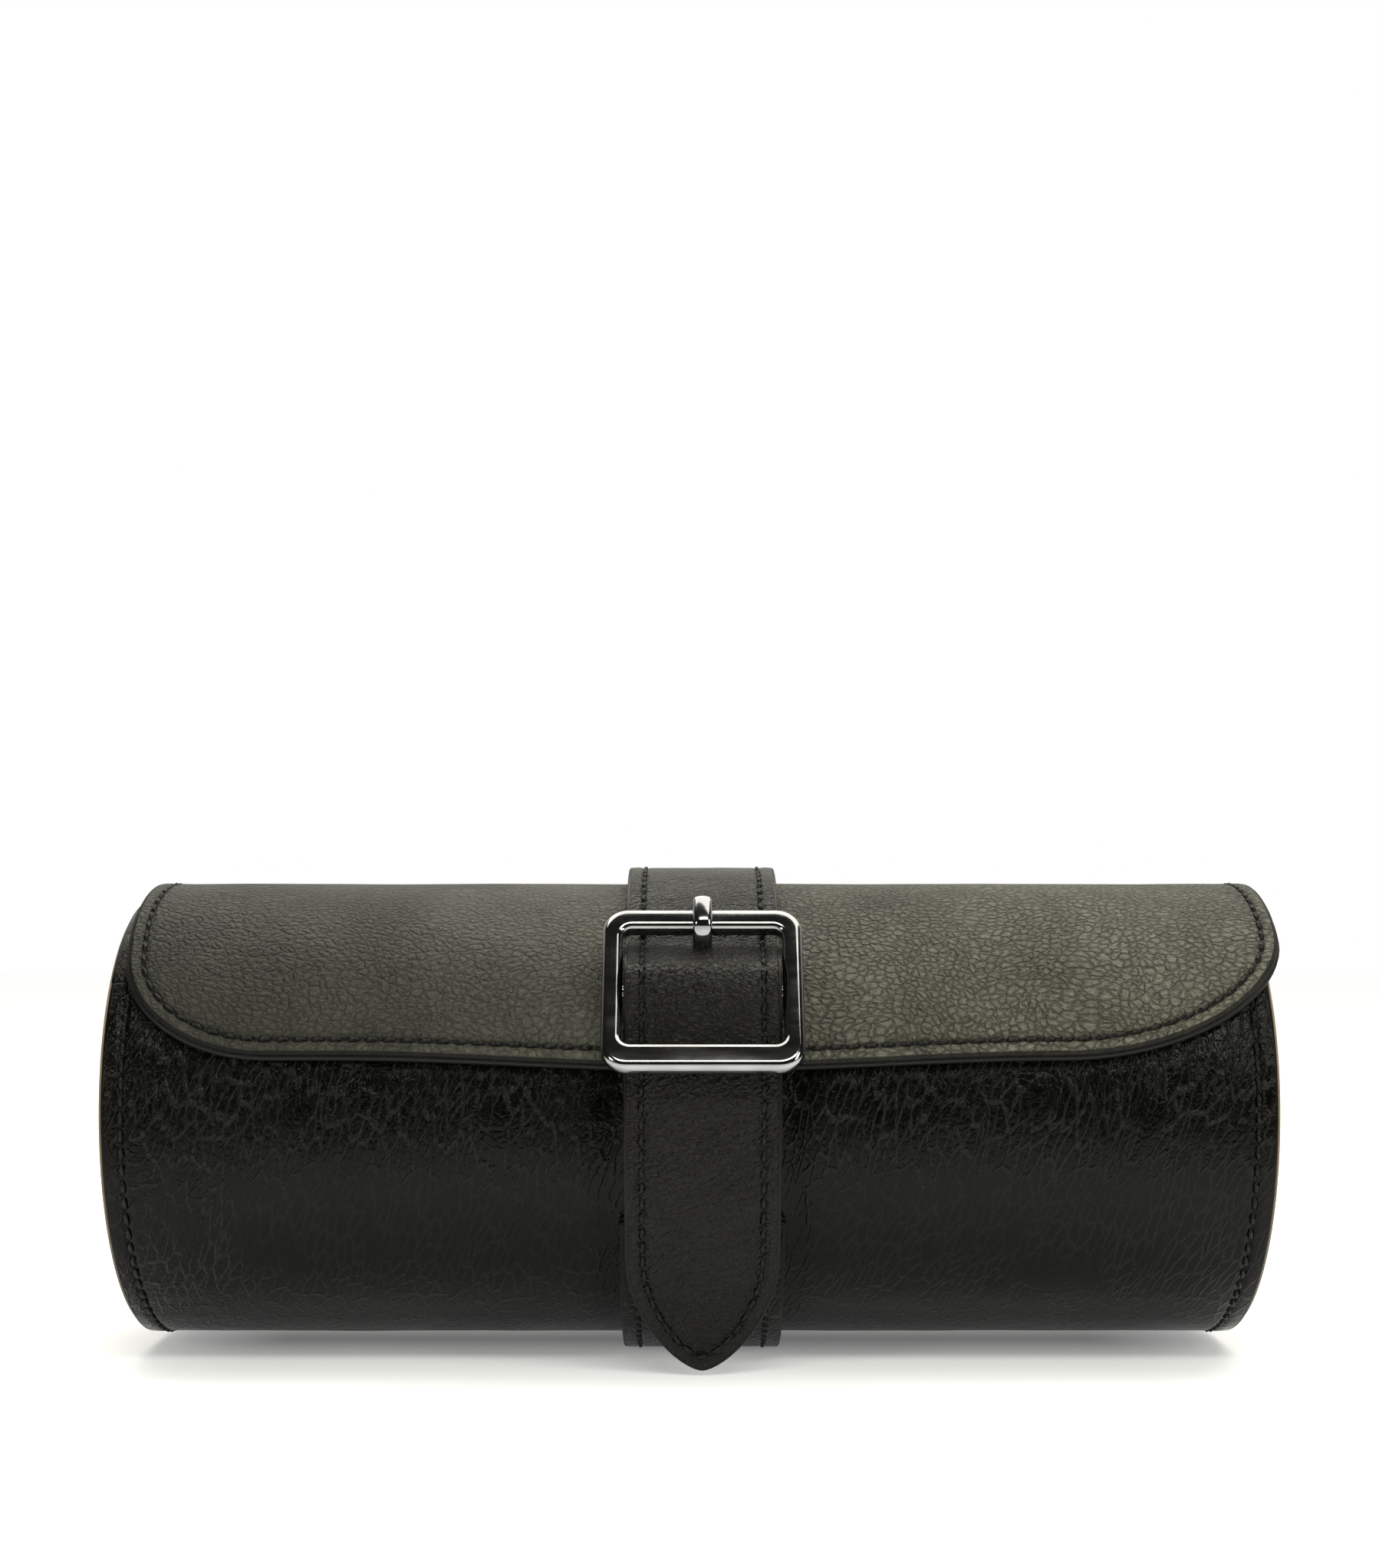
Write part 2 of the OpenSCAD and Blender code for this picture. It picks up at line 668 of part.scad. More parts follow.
module chape() {
    color([0.15, 0.15, 0.14]) difference() {
        along_x(strap_x - chape_w / 2, strap_x + chape_w / 2) difference() {
            union() {
                polygon(concat(chape_inner, reversed(chape_outer)));
                polygon(chape_back);
                translate(on_buckle(bar_t, bar_n)) circle(loop_r);
            }
            translate(on_buckle(bar_t, bar_n)) circle(bar_r + bar_seat);
        }
        in_buckle_plane() translate([-chape_slot / 2, bar_t - eye_r - 3.6, bar_n - 2 * eye_r])
            cube([chape_slot, 3 * eye_r + 5, 4 * eye_r]);
    }
}

// A cushion's form, smaller by a wall: a rounded pillow whose ends draw in
function pillow(w, h) = [for (i = [0 : 47]) let (a = 360 * i / 48, p = 2 / 2.2)
    [w / 2 * sign(cos(a)) * pow(abs(cos(a)), p), h / 2 * sign(sin(a)) * pow(abs(sin(a)), p)]];
function cushion_x(i) = (i - 1 - (compartments - 1) / 2) * pitch;

module cushion_form(i, wall) {
    half = cushion_len / 2 - wall;
    ends = [[-half, 0.8], [-half + 5, 0.97], [-half * 0.4, 1], [half * 0.4, 1], [half - 5, 0.97], [half, 0.8]];
    translate([cushion_x(i), 0, cushion_z]) hull() for (e = ends)
        translate([e[0] - 0.1, 0, 0]) rotate([90, 0, 90]) linear_extrude(0.2)
            polygon(pillow((cushion_w - 2 * wall) * e[1], (cushion_h - 2 * wall) * e[1]));
}

module cushion_cover(i) {
    color([0.64, 0.54, 0.42]) difference() {
        cushion_form(i, 0);
        cushion_form(i, cover_t);
    }
}

module cushion_core(i) {
    color([0.85, 0.83, 0.75]) cushion_form(i, cover_t + 0.02);
}

wrap_leather();
wrap_board();
wrap_lining();
wrap_seams();
end_leather(-1);  // end_leather_left
end_board(-1);  // end_board_left
end_lining(-1);  // end_lining_left
end_binding(-1);  // end_binding_left
end_piping(-1);  // end_piping_left
end_leather(1);  // end_leather_right
end_board(1);  // end_board_right
end_lining(1);  // end_lining_right
end_binding(1);  // end_binding_right
end_piping(1);  // end_piping_right
divider(0);  // divider_left
divider(1);  // divider_right
divider_board(0);  // divider_board_left
divider_board(1);  // divider_board_right
under_strap();
under_strap_backing();
under_strap_seam();
fold_leather();
fold_lining();
flap_leather();
flap_board();
flap_lining();
flap_seam();
strap_anchor();
anchor_seam();
strap_leather();
strap_lining();
strap_seam();
chape();
buckle_frame();
centre_bar();
prong();
cushion_cover(1);  // cushion_cover_1
cushion_cover(2);  // cushion_cover_2
cushion_cover(3);  // cushion_cover_3
cushion_core(1);  // cushion_core_1
cushion_core(2);  // cushion_core_2
cushion_core(3);  // cushion_core_3
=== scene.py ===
# %% [markdown]
# # A leather watch roll
#
# The roll is a stiff leather barrel for three watches. A lid flap covers its open top, and a strap
# over the flap runs through a polished buckle. Real leather goods are cut flat, sewn flat and then
# bent to their form, and this lesson works in the same order. Each piece is drawn flat, gets its
# thickness, its rounded edges and its stitches, and is then bent round the roll.
#
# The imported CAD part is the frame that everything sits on, so it is loaded first.

# %% Load the frame
from math import atan2, cos, degrees, exp, hypot, pi, radians, sin, sqrt

import bmesh
import bpy
import numpy as np
from mathutils import Matrix, Vector, noise


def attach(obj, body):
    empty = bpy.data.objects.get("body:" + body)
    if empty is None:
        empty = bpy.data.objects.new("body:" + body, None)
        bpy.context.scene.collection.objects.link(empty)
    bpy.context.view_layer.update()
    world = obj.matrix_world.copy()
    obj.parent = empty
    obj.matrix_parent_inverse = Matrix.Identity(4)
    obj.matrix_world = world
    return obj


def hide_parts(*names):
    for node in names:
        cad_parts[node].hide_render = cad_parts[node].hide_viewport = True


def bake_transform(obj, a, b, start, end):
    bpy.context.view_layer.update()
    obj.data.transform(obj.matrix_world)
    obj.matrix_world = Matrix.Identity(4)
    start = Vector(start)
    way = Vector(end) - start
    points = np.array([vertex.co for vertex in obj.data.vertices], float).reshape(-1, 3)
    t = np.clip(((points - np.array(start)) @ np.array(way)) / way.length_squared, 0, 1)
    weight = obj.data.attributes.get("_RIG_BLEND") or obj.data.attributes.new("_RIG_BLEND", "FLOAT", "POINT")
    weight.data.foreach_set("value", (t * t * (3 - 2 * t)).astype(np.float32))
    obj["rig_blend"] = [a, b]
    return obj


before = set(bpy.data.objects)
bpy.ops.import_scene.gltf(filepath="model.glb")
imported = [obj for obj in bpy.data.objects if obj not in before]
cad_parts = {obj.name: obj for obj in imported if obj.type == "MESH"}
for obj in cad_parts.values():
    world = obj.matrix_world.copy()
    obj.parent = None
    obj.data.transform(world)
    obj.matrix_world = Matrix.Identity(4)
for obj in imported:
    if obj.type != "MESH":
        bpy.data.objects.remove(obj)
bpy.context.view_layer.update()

# %% [markdown]
# ## The sizes
#
# Flat pieces are drawn in millimetres: X runs along the roll, Y is the way round it and Z is the
# height above the leather's face. The sizes repeat those of the CAD part, because a piece has to lie
# in the room that its solid holds. Angles go round the roll: 0 at the front, 90 at the top.

# %% Sizes of the roll, in millimetres
MM = 0.001
AXIS_Z = 42.2            # height of the roll's axis above the table
WRAP_R = 40.0            # outside of the barrel's leather
BOARD_R = 38.6           # outside of its board, and the radius of the ends
LINING_R = 37.2          # outside of its suede lining
INNER_R = 36.0           # inside of the lining
WRAP_HALF = 99.4         # the wrap's half length
INNER_HALF = 93.8        # half length between the end linings
END_FACE = 98.2          # outer face of an end
PIPING_FACE = 100.0      # outer face of the piping
LIP, WRAP_BACK = 40.0, -184.0
FLAP_R = 43.0            # outside of the flap's leather
FLAP_BACK, FOLD_END = 168.0, 176.0
UNDER_R = 42.9           # outside of the under strap
SHIFT = 2.2              # the flap and the straps sit this far to the right
STRAP_HALF = 13.2
STRAP_T, STRAP_LEATHER_T = 2.7, 1.6
GAP = 0.25


def polar(r, angle):
    """Place in the roll's cross-section, as (y, z), of a radius and an angle in degrees."""
    a = radians(angle)
    return -r * cos(a), AXIS_Z + r * sin(a)


def smoothstep(t):
    t = min(1.0, max(0.0, t))
    return t * t * (3 - 2 * t)


def add_object(name, data):
    made = bpy.data.objects.new(name, data)
    bpy.context.scene.collection.objects.link(made)
    return made


print("roll", 2 * PIPING_FACE, "mm long,", 2 * FLAP_R, "mm across the flap")

# %% [markdown]
# ## The camera
#
# The photograph was taken from close by, a little above the roll, with the roll in the lower half of
# a tall picture. Tilting the camera up would turn the sides of the buckle, so the lens is shifted
# instead, as on a view camera.

# %% Camera
PICTURE_H, FOCAL_PX, DROP_PX = 2044, 2861, 432
CAMERA_FAR, CAMERA_LIFT = 0.410, radians(5)
camera = add_object("camera", bpy.data.cameras.new("camera"))
camera.location = (0, -CAMERA_FAR * cos(CAMERA_LIFT), AXIS_Z * MM + CAMERA_FAR * sin(CAMERA_LIFT))
camera.rotation_euler = (pi / 2 - CAMERA_LIFT, 0, 0)
lens = camera.data
lens.sensor_fit, lens.sensor_height, lens.clip_start = "VERTICAL", 36, 0.01
lens.lens = FOCAL_PX / PICTURE_H * lens.sensor_height
lens.shift_y = DROP_PX / PICTURE_H
bpy.context.scene.camera = camera
print(f"lens {lens.lens:.1f} mm, shift {lens.shift_y:.3f}")

# %% [markdown]
# ## Floor, backdrop and light
#
# The shot has one large soft lamp high behind the roll and a weaker one high in front, and the air
# in front is dark. So the top of the leather shines, its front stays deep, and the polished buckle
# shows black faces with fine white lines. The white ground comes from the floor and the world as the
# camera sees them, and not from stronger lamps. Near the roll only a small part of the floor's white
# is added, and more of it further away, so the floor's shadow is partly the lamps' own shadow and
# partly painted shadow. Far away reflections see less of the white than the camera does, as with a
# sheet of paper that ends.
#
# All materials are node trees. A small class adds the nodes, so that a tree reads like a sum.

# %% Building node trees
class Net:
    """A node tree in the making. Most methods add one node and return its output."""

    def __init__(self, tree, clear=False):
        self.tree = tree
        if clear:
            tree.nodes.clear()

    def feed(self, socket, value):
        """Links an output to an input, or sets the input's own value. Colours get their alpha here."""
        if isinstance(value, bpy.types.NodeSocket):
            self.tree.links.new(value, socket)
        elif value is not None:
            socket.default_value = (*value, 1) if socket.type == "RGBA" else value

    def fill(self, n, *inputs, **settings):
        """Sets a node's settings and feeds its inputs, in their order or by name."""
        for key, value in settings.items():
            if hasattr(n, key):
                setattr(n, key, value)
            else:
                self.feed(n.inputs[key.replace("_", " ")], value)
        for socket, value in zip(n.inputs, inputs):
            self.feed(socket, value)
        return n

    def node(self, kind, *inputs, **settings):
        return self.fill(self.tree.nodes.new("ShaderNode" + kind), *inputs, **settings)

    def maths(self, operation, *inputs, clamp=False):
        return self.node("Math", *inputs, operation=operation, use_clamp=clamp).outputs[0]

    def times(self, a, b, plus=None, clamp=False):
        return self.maths("MULTIPLY" if plus is None else "MULTIPLY_ADD", a, b, plus, clamp=clamp)

    def vectors(self, operation, *inputs, **settings):
        return self.node("VectorMath", *inputs, operation=operation, **settings).outputs[0]

    def ramp(self, value, low, high, to_low=0.0, to_high=1.0):
        """Maps a value smoothly from one range to another."""
        return self.node("MapRange", value, low, high, to_low, to_high,
                         interpolation_type="SMOOTHSTEP").outputs[0]

    def near(self, value, reach, start=0.0):
        """1 up to the start and 0 from the reach on."""
        return self.ramp(value, start, reach, 1, 0)

    def noise(self, vector, scale, detail=2.0, roughness=0.5, out="Fac"):
        return self.node("TexNoise", vector, Scale=scale, Detail=detail,
                         Roughness=roughness).outputs[out]

    def cells(self, vector, scale):
        """The distance to the nearest wall between irregular cells."""
        return self.node("TexVoronoi", vector, feature="DISTANCE_TO_EDGE", voronoi_dimensions="2D",
                         Scale=scale).outputs["Distance"]

    def mix(self, share, a, b):
        """Mixes two colours. The node's own colour inputs come after five unused ones."""
        return self.node("Mix", share, *[None] * 5, a, b, data_type="RGBA").outputs[2]

    def group(self, kind, **settings):
        return self.node("Group", node_tree=kind, **settings).outputs


# %% Floor
bm = bmesh.new()
bmesh.ops.create_grid(bm, x_segments=1, y_segments=1, size=3)
floor_mesh = bpy.data.meshes.new("floor")
bm.to_mesh(floor_mesh)
bm.free()
add_object("floor", floor_mesh)
SHADED = (0.074, 0, 0)   # half length of the line from which the shade is measured
floor_paper = bpy.data.materials.new("floor_paper")
floor_paper.use_nodes = True
net = Net(floor_paper.node_tree, clear=True)
rays = net.node("LightPath").outputs
beside = net.vectors("ABSOLUTE", net.node("TexCoord").outputs["Object"])
outside = net.vectors("MAXIMUM", net.vectors("SUBTRACT", beside, SHADED), (0, 0, 0))
far = net.node("VectorMath", outside, operation="LENGTH").outputs["Value"]
mirrored = net.maths("MAXIMUM", rays["Is Glossy Ray"], rays["Is Transmission Ray"])
seen = net.times(mirrored, net.ramp(far, 0.05, 0.30, 0.8, 0.08), rays["Is Camera Ray"])
# painted shadow: the white added for the camera grows from little at the roll to nearly all far from it
white_with_painted_shadow = net.node("Emission", (1, 1, 1), net.times(seen, net.ramp(far, -0.016, 0.082, 0.08, 0.84)))
paper = net.node("BsdfDiffuse", (0.78, 0.78, 0.785))
net.node("OutputMaterial", net.node("AddShader", paper.outputs[0], white_with_painted_shadow.outputs[0]).outputs[0])
floor_mesh.materials.append(floor_paper)

# %% World and lamps
LAMP_COLOUR = (1.0, 0.985, 0.88)
world = bpy.data.worlds.new("studio")
bpy.context.scene.world = world
world.use_nodes = True
net = Net(world.node_tree, clear=True)
to_camera = net.node("LightPath").outputs["Is Camera Ray"]
ahead = net.node("SeparateXYZ", net.node("TexCoord").outputs["Generated"]).outputs["Y"]
sky = net.node("Background", net.mix(to_camera, LAMP_COLOUR, (1, 1, 1)),
               net.maths("MAXIMUM", net.ramp(ahead, 0.1, 0.85, 0.02, 0.8), to_camera))
net.node("OutputWorld", sky.outputs[0])


def softbox(name, size, at, aim, watts):
    """A soft lamp: its size and place in metres, and the point that it faces."""
    lamp = bpy.data.lights.new(name, "AREA")
    lamp.shape, lamp.energy, lamp.color = "RECTANGLE", watts, LAMP_COLOUR
    lamp.size, lamp.size_y = size
    o = add_object(name, lamp)
    o.location = at
    o.rotation_euler = (Vector(aim) - Vector(at)).to_track_quat("-Z", "Y").to_euler()


softbox("high_behind", (1.1, 0.8), (0.05, 0.20, 0.74), (0, 0.0, 0.06), 7.0)
softbox("high_in_front", (0.7, 0.20), (0.1, -0.64, 0.78), (0, 0, 0.05), 4.0)
softbox("right_strip", (0.16, 0.4), (0.62, -0.50, 0.36), (0.03, 0, 0.05), 1.5)
softbox("left_spot", (0.15, 0.15), (-0.50, -0.55, 0.28), (-0.05, 0, 0.04), 0.7)
bpy.context.scene.view_settings.view_transform = "Standard"

# %% [markdown]
# ## Cutting, thickening and bending
#
# A leather worker cuts the outline, rounds the edges and creases a groove for the thread, all on the
# flat. Modelling straight on the curved roll would make each of these hard. So a flat face is cut
# into small cells, made thick and bevelled, and one function then bends every vertex to its place.
# Three values stay on the vertices for the materials: the distance to the cut edge, how deep the
# vertex lies in a thread groove, which the leather uses to paint shade there, and how strong the
# grain is there. A UV map named flat keeps the place on the flat piece, so that the grain follows the
# hide round the roll.

# %% Flat pieces
LAYERS = ("edge_mm", "groove", "grain")


def new_sheet():
    bm = bmesh.new()
    for name in LAYERS:
        bm.verts.layers.float.new(name)
    return bm


def cut(bm, geometry, axis, place):
    """Cuts along one line across X or Y and returns the pieces."""
    at, way = Vector(), Vector()
    at[axis], way[axis] = place, 1
    return bmesh.ops.bisect_plane(bm, geom=geometry, plane_co=at, plane_no=way, dist=1e-4)["geom"]


def cut_grid(bm, face, low, high, step):
    """Cuts a face along lines of both directions, a step apart, so that it can bend."""
    geometry = [face, *face.edges, *face.verts]
    for axis in (0, 1):
        count = max(1, round((high[axis] - low[axis]) / step[axis]))
        for i in range(1, count):
            geometry = cut(bm, geometry, axis, low[axis] + (high[axis] - low[axis]) * i / count)


def cut_lines(bm, axis, places):
    """Cuts the whole sheet along chosen lines, where a groove or an edge needs its own."""
    for place in places:
        cut(bm, bm.verts[:] + bm.edges[:] + bm.faces[:], axis, place)


def rectangle(low, high, step):
    """A flat rectangle of small cells."""
    bm = new_sheet()
    corners = [low, (high[0], low[1]), high, (low[0], high[1])]
    cut_grid(bm, bm.faces.new([bm.verts.new((x, y, 0)) for x, y in corners]), low, high, step)
    return bm


def ringed(outline, margins, step):
    """A flat piece with lines parallel to its open outline, one at each margin, and cells inside."""
    bm = new_sheet()
    number, edge = bm.verts.layers.int.new("number"), bm.verts.layers.float["edge_mm"]
    chain = []
    for i, (x, y) in enumerate(outline(margins[0])):
        chain.append(bm.verts.new((x, y, 0)))
        chain[-1][number] = i
    edges = [bm.edges.new(pair) for pair in zip(chain, chain[1:])]
    for margin in margins[1:]:
        points = outline(margin)
        made = bmesh.ops.extrude_edge_only(bm, edges=edges)["geom"]
        edges = [g for g in made if isinstance(g, bmesh.types.BMEdge)]
        for v in (g for g in made if isinstance(g, bmesh.types.BMVert)):
            v.co = (*points[v[number]], 0)
            v[edge] = margin - margins[0]
    chain = sorted({v for e in edges for v in e.verts}, key=lambda v: v[number])
    xs, ys = zip(*(v.co.xy for v in chain))
    cut_grid(bm, bm.faces.new(chain), (min(xs), min(ys)), (max(xs), max(ys)), step)
    return bm


def set_edge(bm, distance):
    """Sets the distance to the cut edge: distance(co, old value)."""
    edge = bm.verts.layers.float["edge_mm"]
    for v in bm.verts:
        v[edge] = distance(v.co, v[edge])


def bevel(bm, geometry, offset, segments=3, affect="EDGES", clamp=True):
    bmesh.ops.bevel(bm, geom=geometry, offset=offset, offset_type="OFFSET", segments=segments,
                    profile=0.5, affect=affect, material=-1, clamp_overlap=clamp)


def lift(bm, height):
    bmesh.ops.translate(bm, verts=bm.verts[:], vec=(0, 0, height))


def face_outwards(bm):
    bmesh.ops.recalc_face_normals(bm, faces=bm.faces[:])


def thicken(bm, thickness, rounding, segments=3, square=None):
    """Gives a flat piece its thickness, below its face, and rounds its rims.

    square(co) is true where a rim stays sharp."""
    made = bmesh.ops.extrude_face_region(bm, geom=bm.faces[:], use_keep_orig=True)["geom"]
    under = [g for g in made if isinstance(g, bmesh.types.BMVert)]
    bmesh.ops.translate(bm, verts=under, vec=(0, 0, -thickness))
    face_outwards(bm)
    bevel(bm, [e for e in bm.edges if len(e.link_faces) == 2 and e.calc_face_angle(0) > 1
               and not (square and all(square(v.co) for v in e.verts))], rounding, segments)


def relief(bm, thickness, height):
    """Raises or sinks the upper face.

    height(x, y, edge) gives millimetres, the groove and the grain's strength."""
    edge, groove, grain = (bm.verts.layers.float[name] for name in LAYERS)
    for v in bm.verts:
        v[grain] = 1.0
        if v.co.z > -thickness / 2:
            rise, v[groove], v[grain] = height(v.co.x, v.co.y, v[edge])
            v.co.z += rise


def bend(bm, place):
    """Moves every vertex from the flat piece, in millimetres, to its place on the roll, in metres."""
    flat = bm.loops.layers.uv.new("flat")
    for face in bm.faces:
        for corner in face.loops:
            corner[flat].uv = corner.vert.co.xy * MM
    carry(bm, place)


def carry(bm, place):
    for v in bm.verts:
        v.co = Vector(place(*v.co)) * MM
    face_outwards(bm)


def make_piece(name, bm, material, body, nodes, slot, crisp=40):
    """Turns the mesh into a named object, which stands for its CAD nodes and moves with its body."""
    me = bpy.data.meshes.new(name)
    bm.to_mesh(me)
    bm.free()
    me.shade_smooth()
    me.set_sharp_from_angle(angle=radians(crisp))
    me.materials.append(material)
    piece = add_object(name, me)
    if body:
        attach(piece, body)
    if nodes:
        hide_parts(*nodes)
    print(f"{name}: {len(me.polygons)} faces")
    return piece


def make_sheet(name, bm, thickness, rounding, place, *about, height=None, drop=0, **rims):
    """The whole way of a flat piece: thick, in relief, under other sheets if it has a drop, bent."""
    thicken(bm, thickness, rounding, **rims)
    if height:
        relief(bm, thickness, height)
    lift(bm, -drop)
    bend(bm, place)
    return make_piece(name, bm, *about)


# %% [markdown]
# ## Stitches
#
# Each stitch on the roll lies in the creased groove and dives into its hole at both ends. A texture
# of dashes would stay flat at the outline of the roll, so every stitch is a small body of its own: a
# ball of few faces, drawn long, with its ends bent down.

# %% Stitches
def length_run(points):
    """The length along a line up to each of its points."""
    return np.concatenate([[0], np.cumsum(np.hypot(*np.diff(points, axis=0).T))])


def read_off(at, run, table):
    """The table's two values at places along a line."""
    return [np.interp(at, run, column) for column in table.T]


def stitch_row(bm, points, height, width=0.85, pitch=3.0, slant=0.10):
    """Lays a row of stitches along a line on the flat piece."""
    p = np.array(points, float)
    run = length_run(p)
    count = max(1, round(run[-1] / pitch))
    step = run[-1] / count
    at = (np.arange(count) + 0.5) * run[-1] / count
    xs, ys = read_off(at, run, p)
    ahead = read_off(np.minimum(at + pitch / 4, run[-1]), run, p)
    for x, y, way in zip(xs, ys, np.arctan2(ahead[1] - ys, ahead[0] - xs)):
        made = bmesh.ops.create_uvsphere(bm, u_segments=7, v_segments=6, radius=1)["verts"]
        for v in made:
            t = v.co.z
            v.co = (t * step * 0.44, v.co.x * width / 2, v.co.y * width / 2 - 0.4 * t ** 4)
        turn = Matrix.Translation((x, y, height)) @ Matrix.Rotation(way + slant, 4, "Z")
        bmesh.ops.transform(bm, matrix=turn, verts=made)
    return count


def sew(name, rows, place, body, nodes, height=-0.10, **thread):
    """All stitches of some rows, as one piece."""
    bm = bmesh.new()
    print(sum(stitch_row(bm, row, height, **thread) for row in rows), "stitches:", name)
    bend(bm, place)
    return make_piece(name, bm, THREAD, body, nodes, "thread")


def groove_shape(distance, deep=0.36, width=0.52):
    """Rise and depth share of a thread groove at a distance from its middle line."""
    share = exp(-(distance / width) ** 2)
    return -deep * share, share


# %% [markdown]
# ## Materials
#
# The leather is black with a soft pebbled grain: rounded cells a millimetre or two wide, parted by
# fine creases. A picture of leather would repeat and blur up close, so the grain is computed from
# the place on the piece. Several leathers use it, and so it is one node group with its own sockets.
# The group bends the coordinates a little with noise, because straight cell walls look like glass.

# %% Node groups
def open_group(name, **inputs):
    """A new node group and its inputs: a vector where no default is given, and values."""
    net = Net(bpy.data.node_groups.new(name, "ShaderNodeTree"))
    for label, value in inputs.items():
        kind = "NodeSocketVector" if value is None else "NodeSocketFloat"
        socket = net.tree.interface.new_socket(label, in_out="INPUT", socket_type=kind)
        if value is not None:
            socket.default_value = value
    return net, net.tree.nodes.new("NodeGroupInput").outputs


def close_group(net, **outputs):
    for label in outputs:
        net.tree.interface.new_socket(label, in_out="OUTPUT", socket_type="NodeSocketFloat")
    net.fill(net.tree.nodes.new("NodeGroupOutput"), **outputs)
    return net.tree


# %% The grain of the hide
net, given = open_group("hide_grain", Vector=None, Long=0.5, Pebbles=1.0)
at = given["Vector"]
for scale, reach in ((0.06, 7.0), (0.8, 0.8), (1.9, 0.5)):
    push = net.vectors("SUBTRACT", net.noise(at, scale, out="Color"), (0.5, 0.5, 0.0))
    at = net.vectors("ADD", at, net.vectors("SCALE", push, Scale=reach))
middle, small = net.cells(at, 1.0), net.cells(at, 2.3)
long = net.cells(net.vectors("MULTIPLY", at, (0.30, 0.62, 1.0)), 1.0)
fade = net.ramp(net.noise(at, 0.16), 0.28, 0.55)
run = net.times(given["Long"], fade)
pebble = net.times(net.ramp(middle, 0.0, 0.34), 0.52)
seed = net.times(net.ramp(small, 0.0, 0.30), 0.18)
fine = net.times(net.noise(at, 4.5), 0.16)
fold = net.times(net.ramp(long, 0.0, 0.16), net.times(run, 0.5, 0.05))
round_ones = net.maths("ADD", net.maths("ADD", pebble, seed), fine)
line = net.times(net.near(middle, 0.17), net.ramp(net.noise(at, 0.7), 0.35, 0.65, 0.15, 1.0))
deep = net.times(net.near(long, 0.08, 0.01), run)
thin = net.times(net.near(small, 0.12), 0.35)
HIDE_GRAIN = close_group(
    net, Height=net.times(round_ones, given["Pebbles"], fold),
    Creases=net.maths("MAXIMUM", net.maths("MAXIMUM", line, deep), thin),
    Ridges=net.times(net.near(long, 0.2), fade), Valleys=net.near(middle, 0.32))

# %% [markdown]
# Handling leaves its marks too: oil darkens some patches, the cut edges polish and the dye thins
# there. Two more groups give these, one for the tone over the hide and one for the edge, which
# reads the distance that the flat pieces carry. Its lighter band near the edge is partly this wear
# and partly painted highlight, the light that the raised band outside the stitches catches.

# %% Tone, worn edges and a painted highlight
net, given = open_group("hide_tone", Vector=None)
HIDE_TONE = close_group(net, Patches=net.ramp(net.noise(given["Vector"], 55.0, 4, 0.6), 0.32, 0.68),
                        Specks=net.ramp(net.noise(given["Vector"], 1700.0, 2, 0.6), 0.35, 0.65))

net, given = open_group("edge_wear_and_highlight", Vector=None, Edge=5.0)
# partly edge wear, partly painted highlight on the raised band outside the stitches
rub_and_highlight = net.times(net.near(given["Edge"], 2.6, 0.6),
                net.ramp(net.noise(given["Vector"], 320.0, 3), 0.35, 0.7))
EDGE_WEAR_AND_HIGHLIGHT = close_group(net, Paint=net.near(given["Edge"], 0.75, 0.42), Rub=rub_and_highlight)


# %% [markdown]
# Each leather then lays its tones over its own colour, one coat after the other. Besides its own patches, specks,
# wear and edge paint, these coats hold painted shade in the valleys, creases and thread grooves, and painted
# highlights on the edge band and the raised ridges.

# %% The leathers
def new_material(name):
    m = bpy.data.materials.new(name)
    m.use_nodes = True
    net = Net(m.node_tree)
    return m, net, net.node("TexCoord").outputs["Object"]


def surface(m, net, base, roughness, height, depth, strength=1.0, **settings):
    """Feeds the shader a colour, a roughness, a bump as deep as given in metres and its own values."""
    bump = net.node("Bump", Strength=strength, Distance=depth, Height=height).outputs[0]
    net.fill(m.node_tree.nodes["Principled BSDF"], Base_Color=base, Roughness=roughness, Normal=bump,
             **settings)
    return m


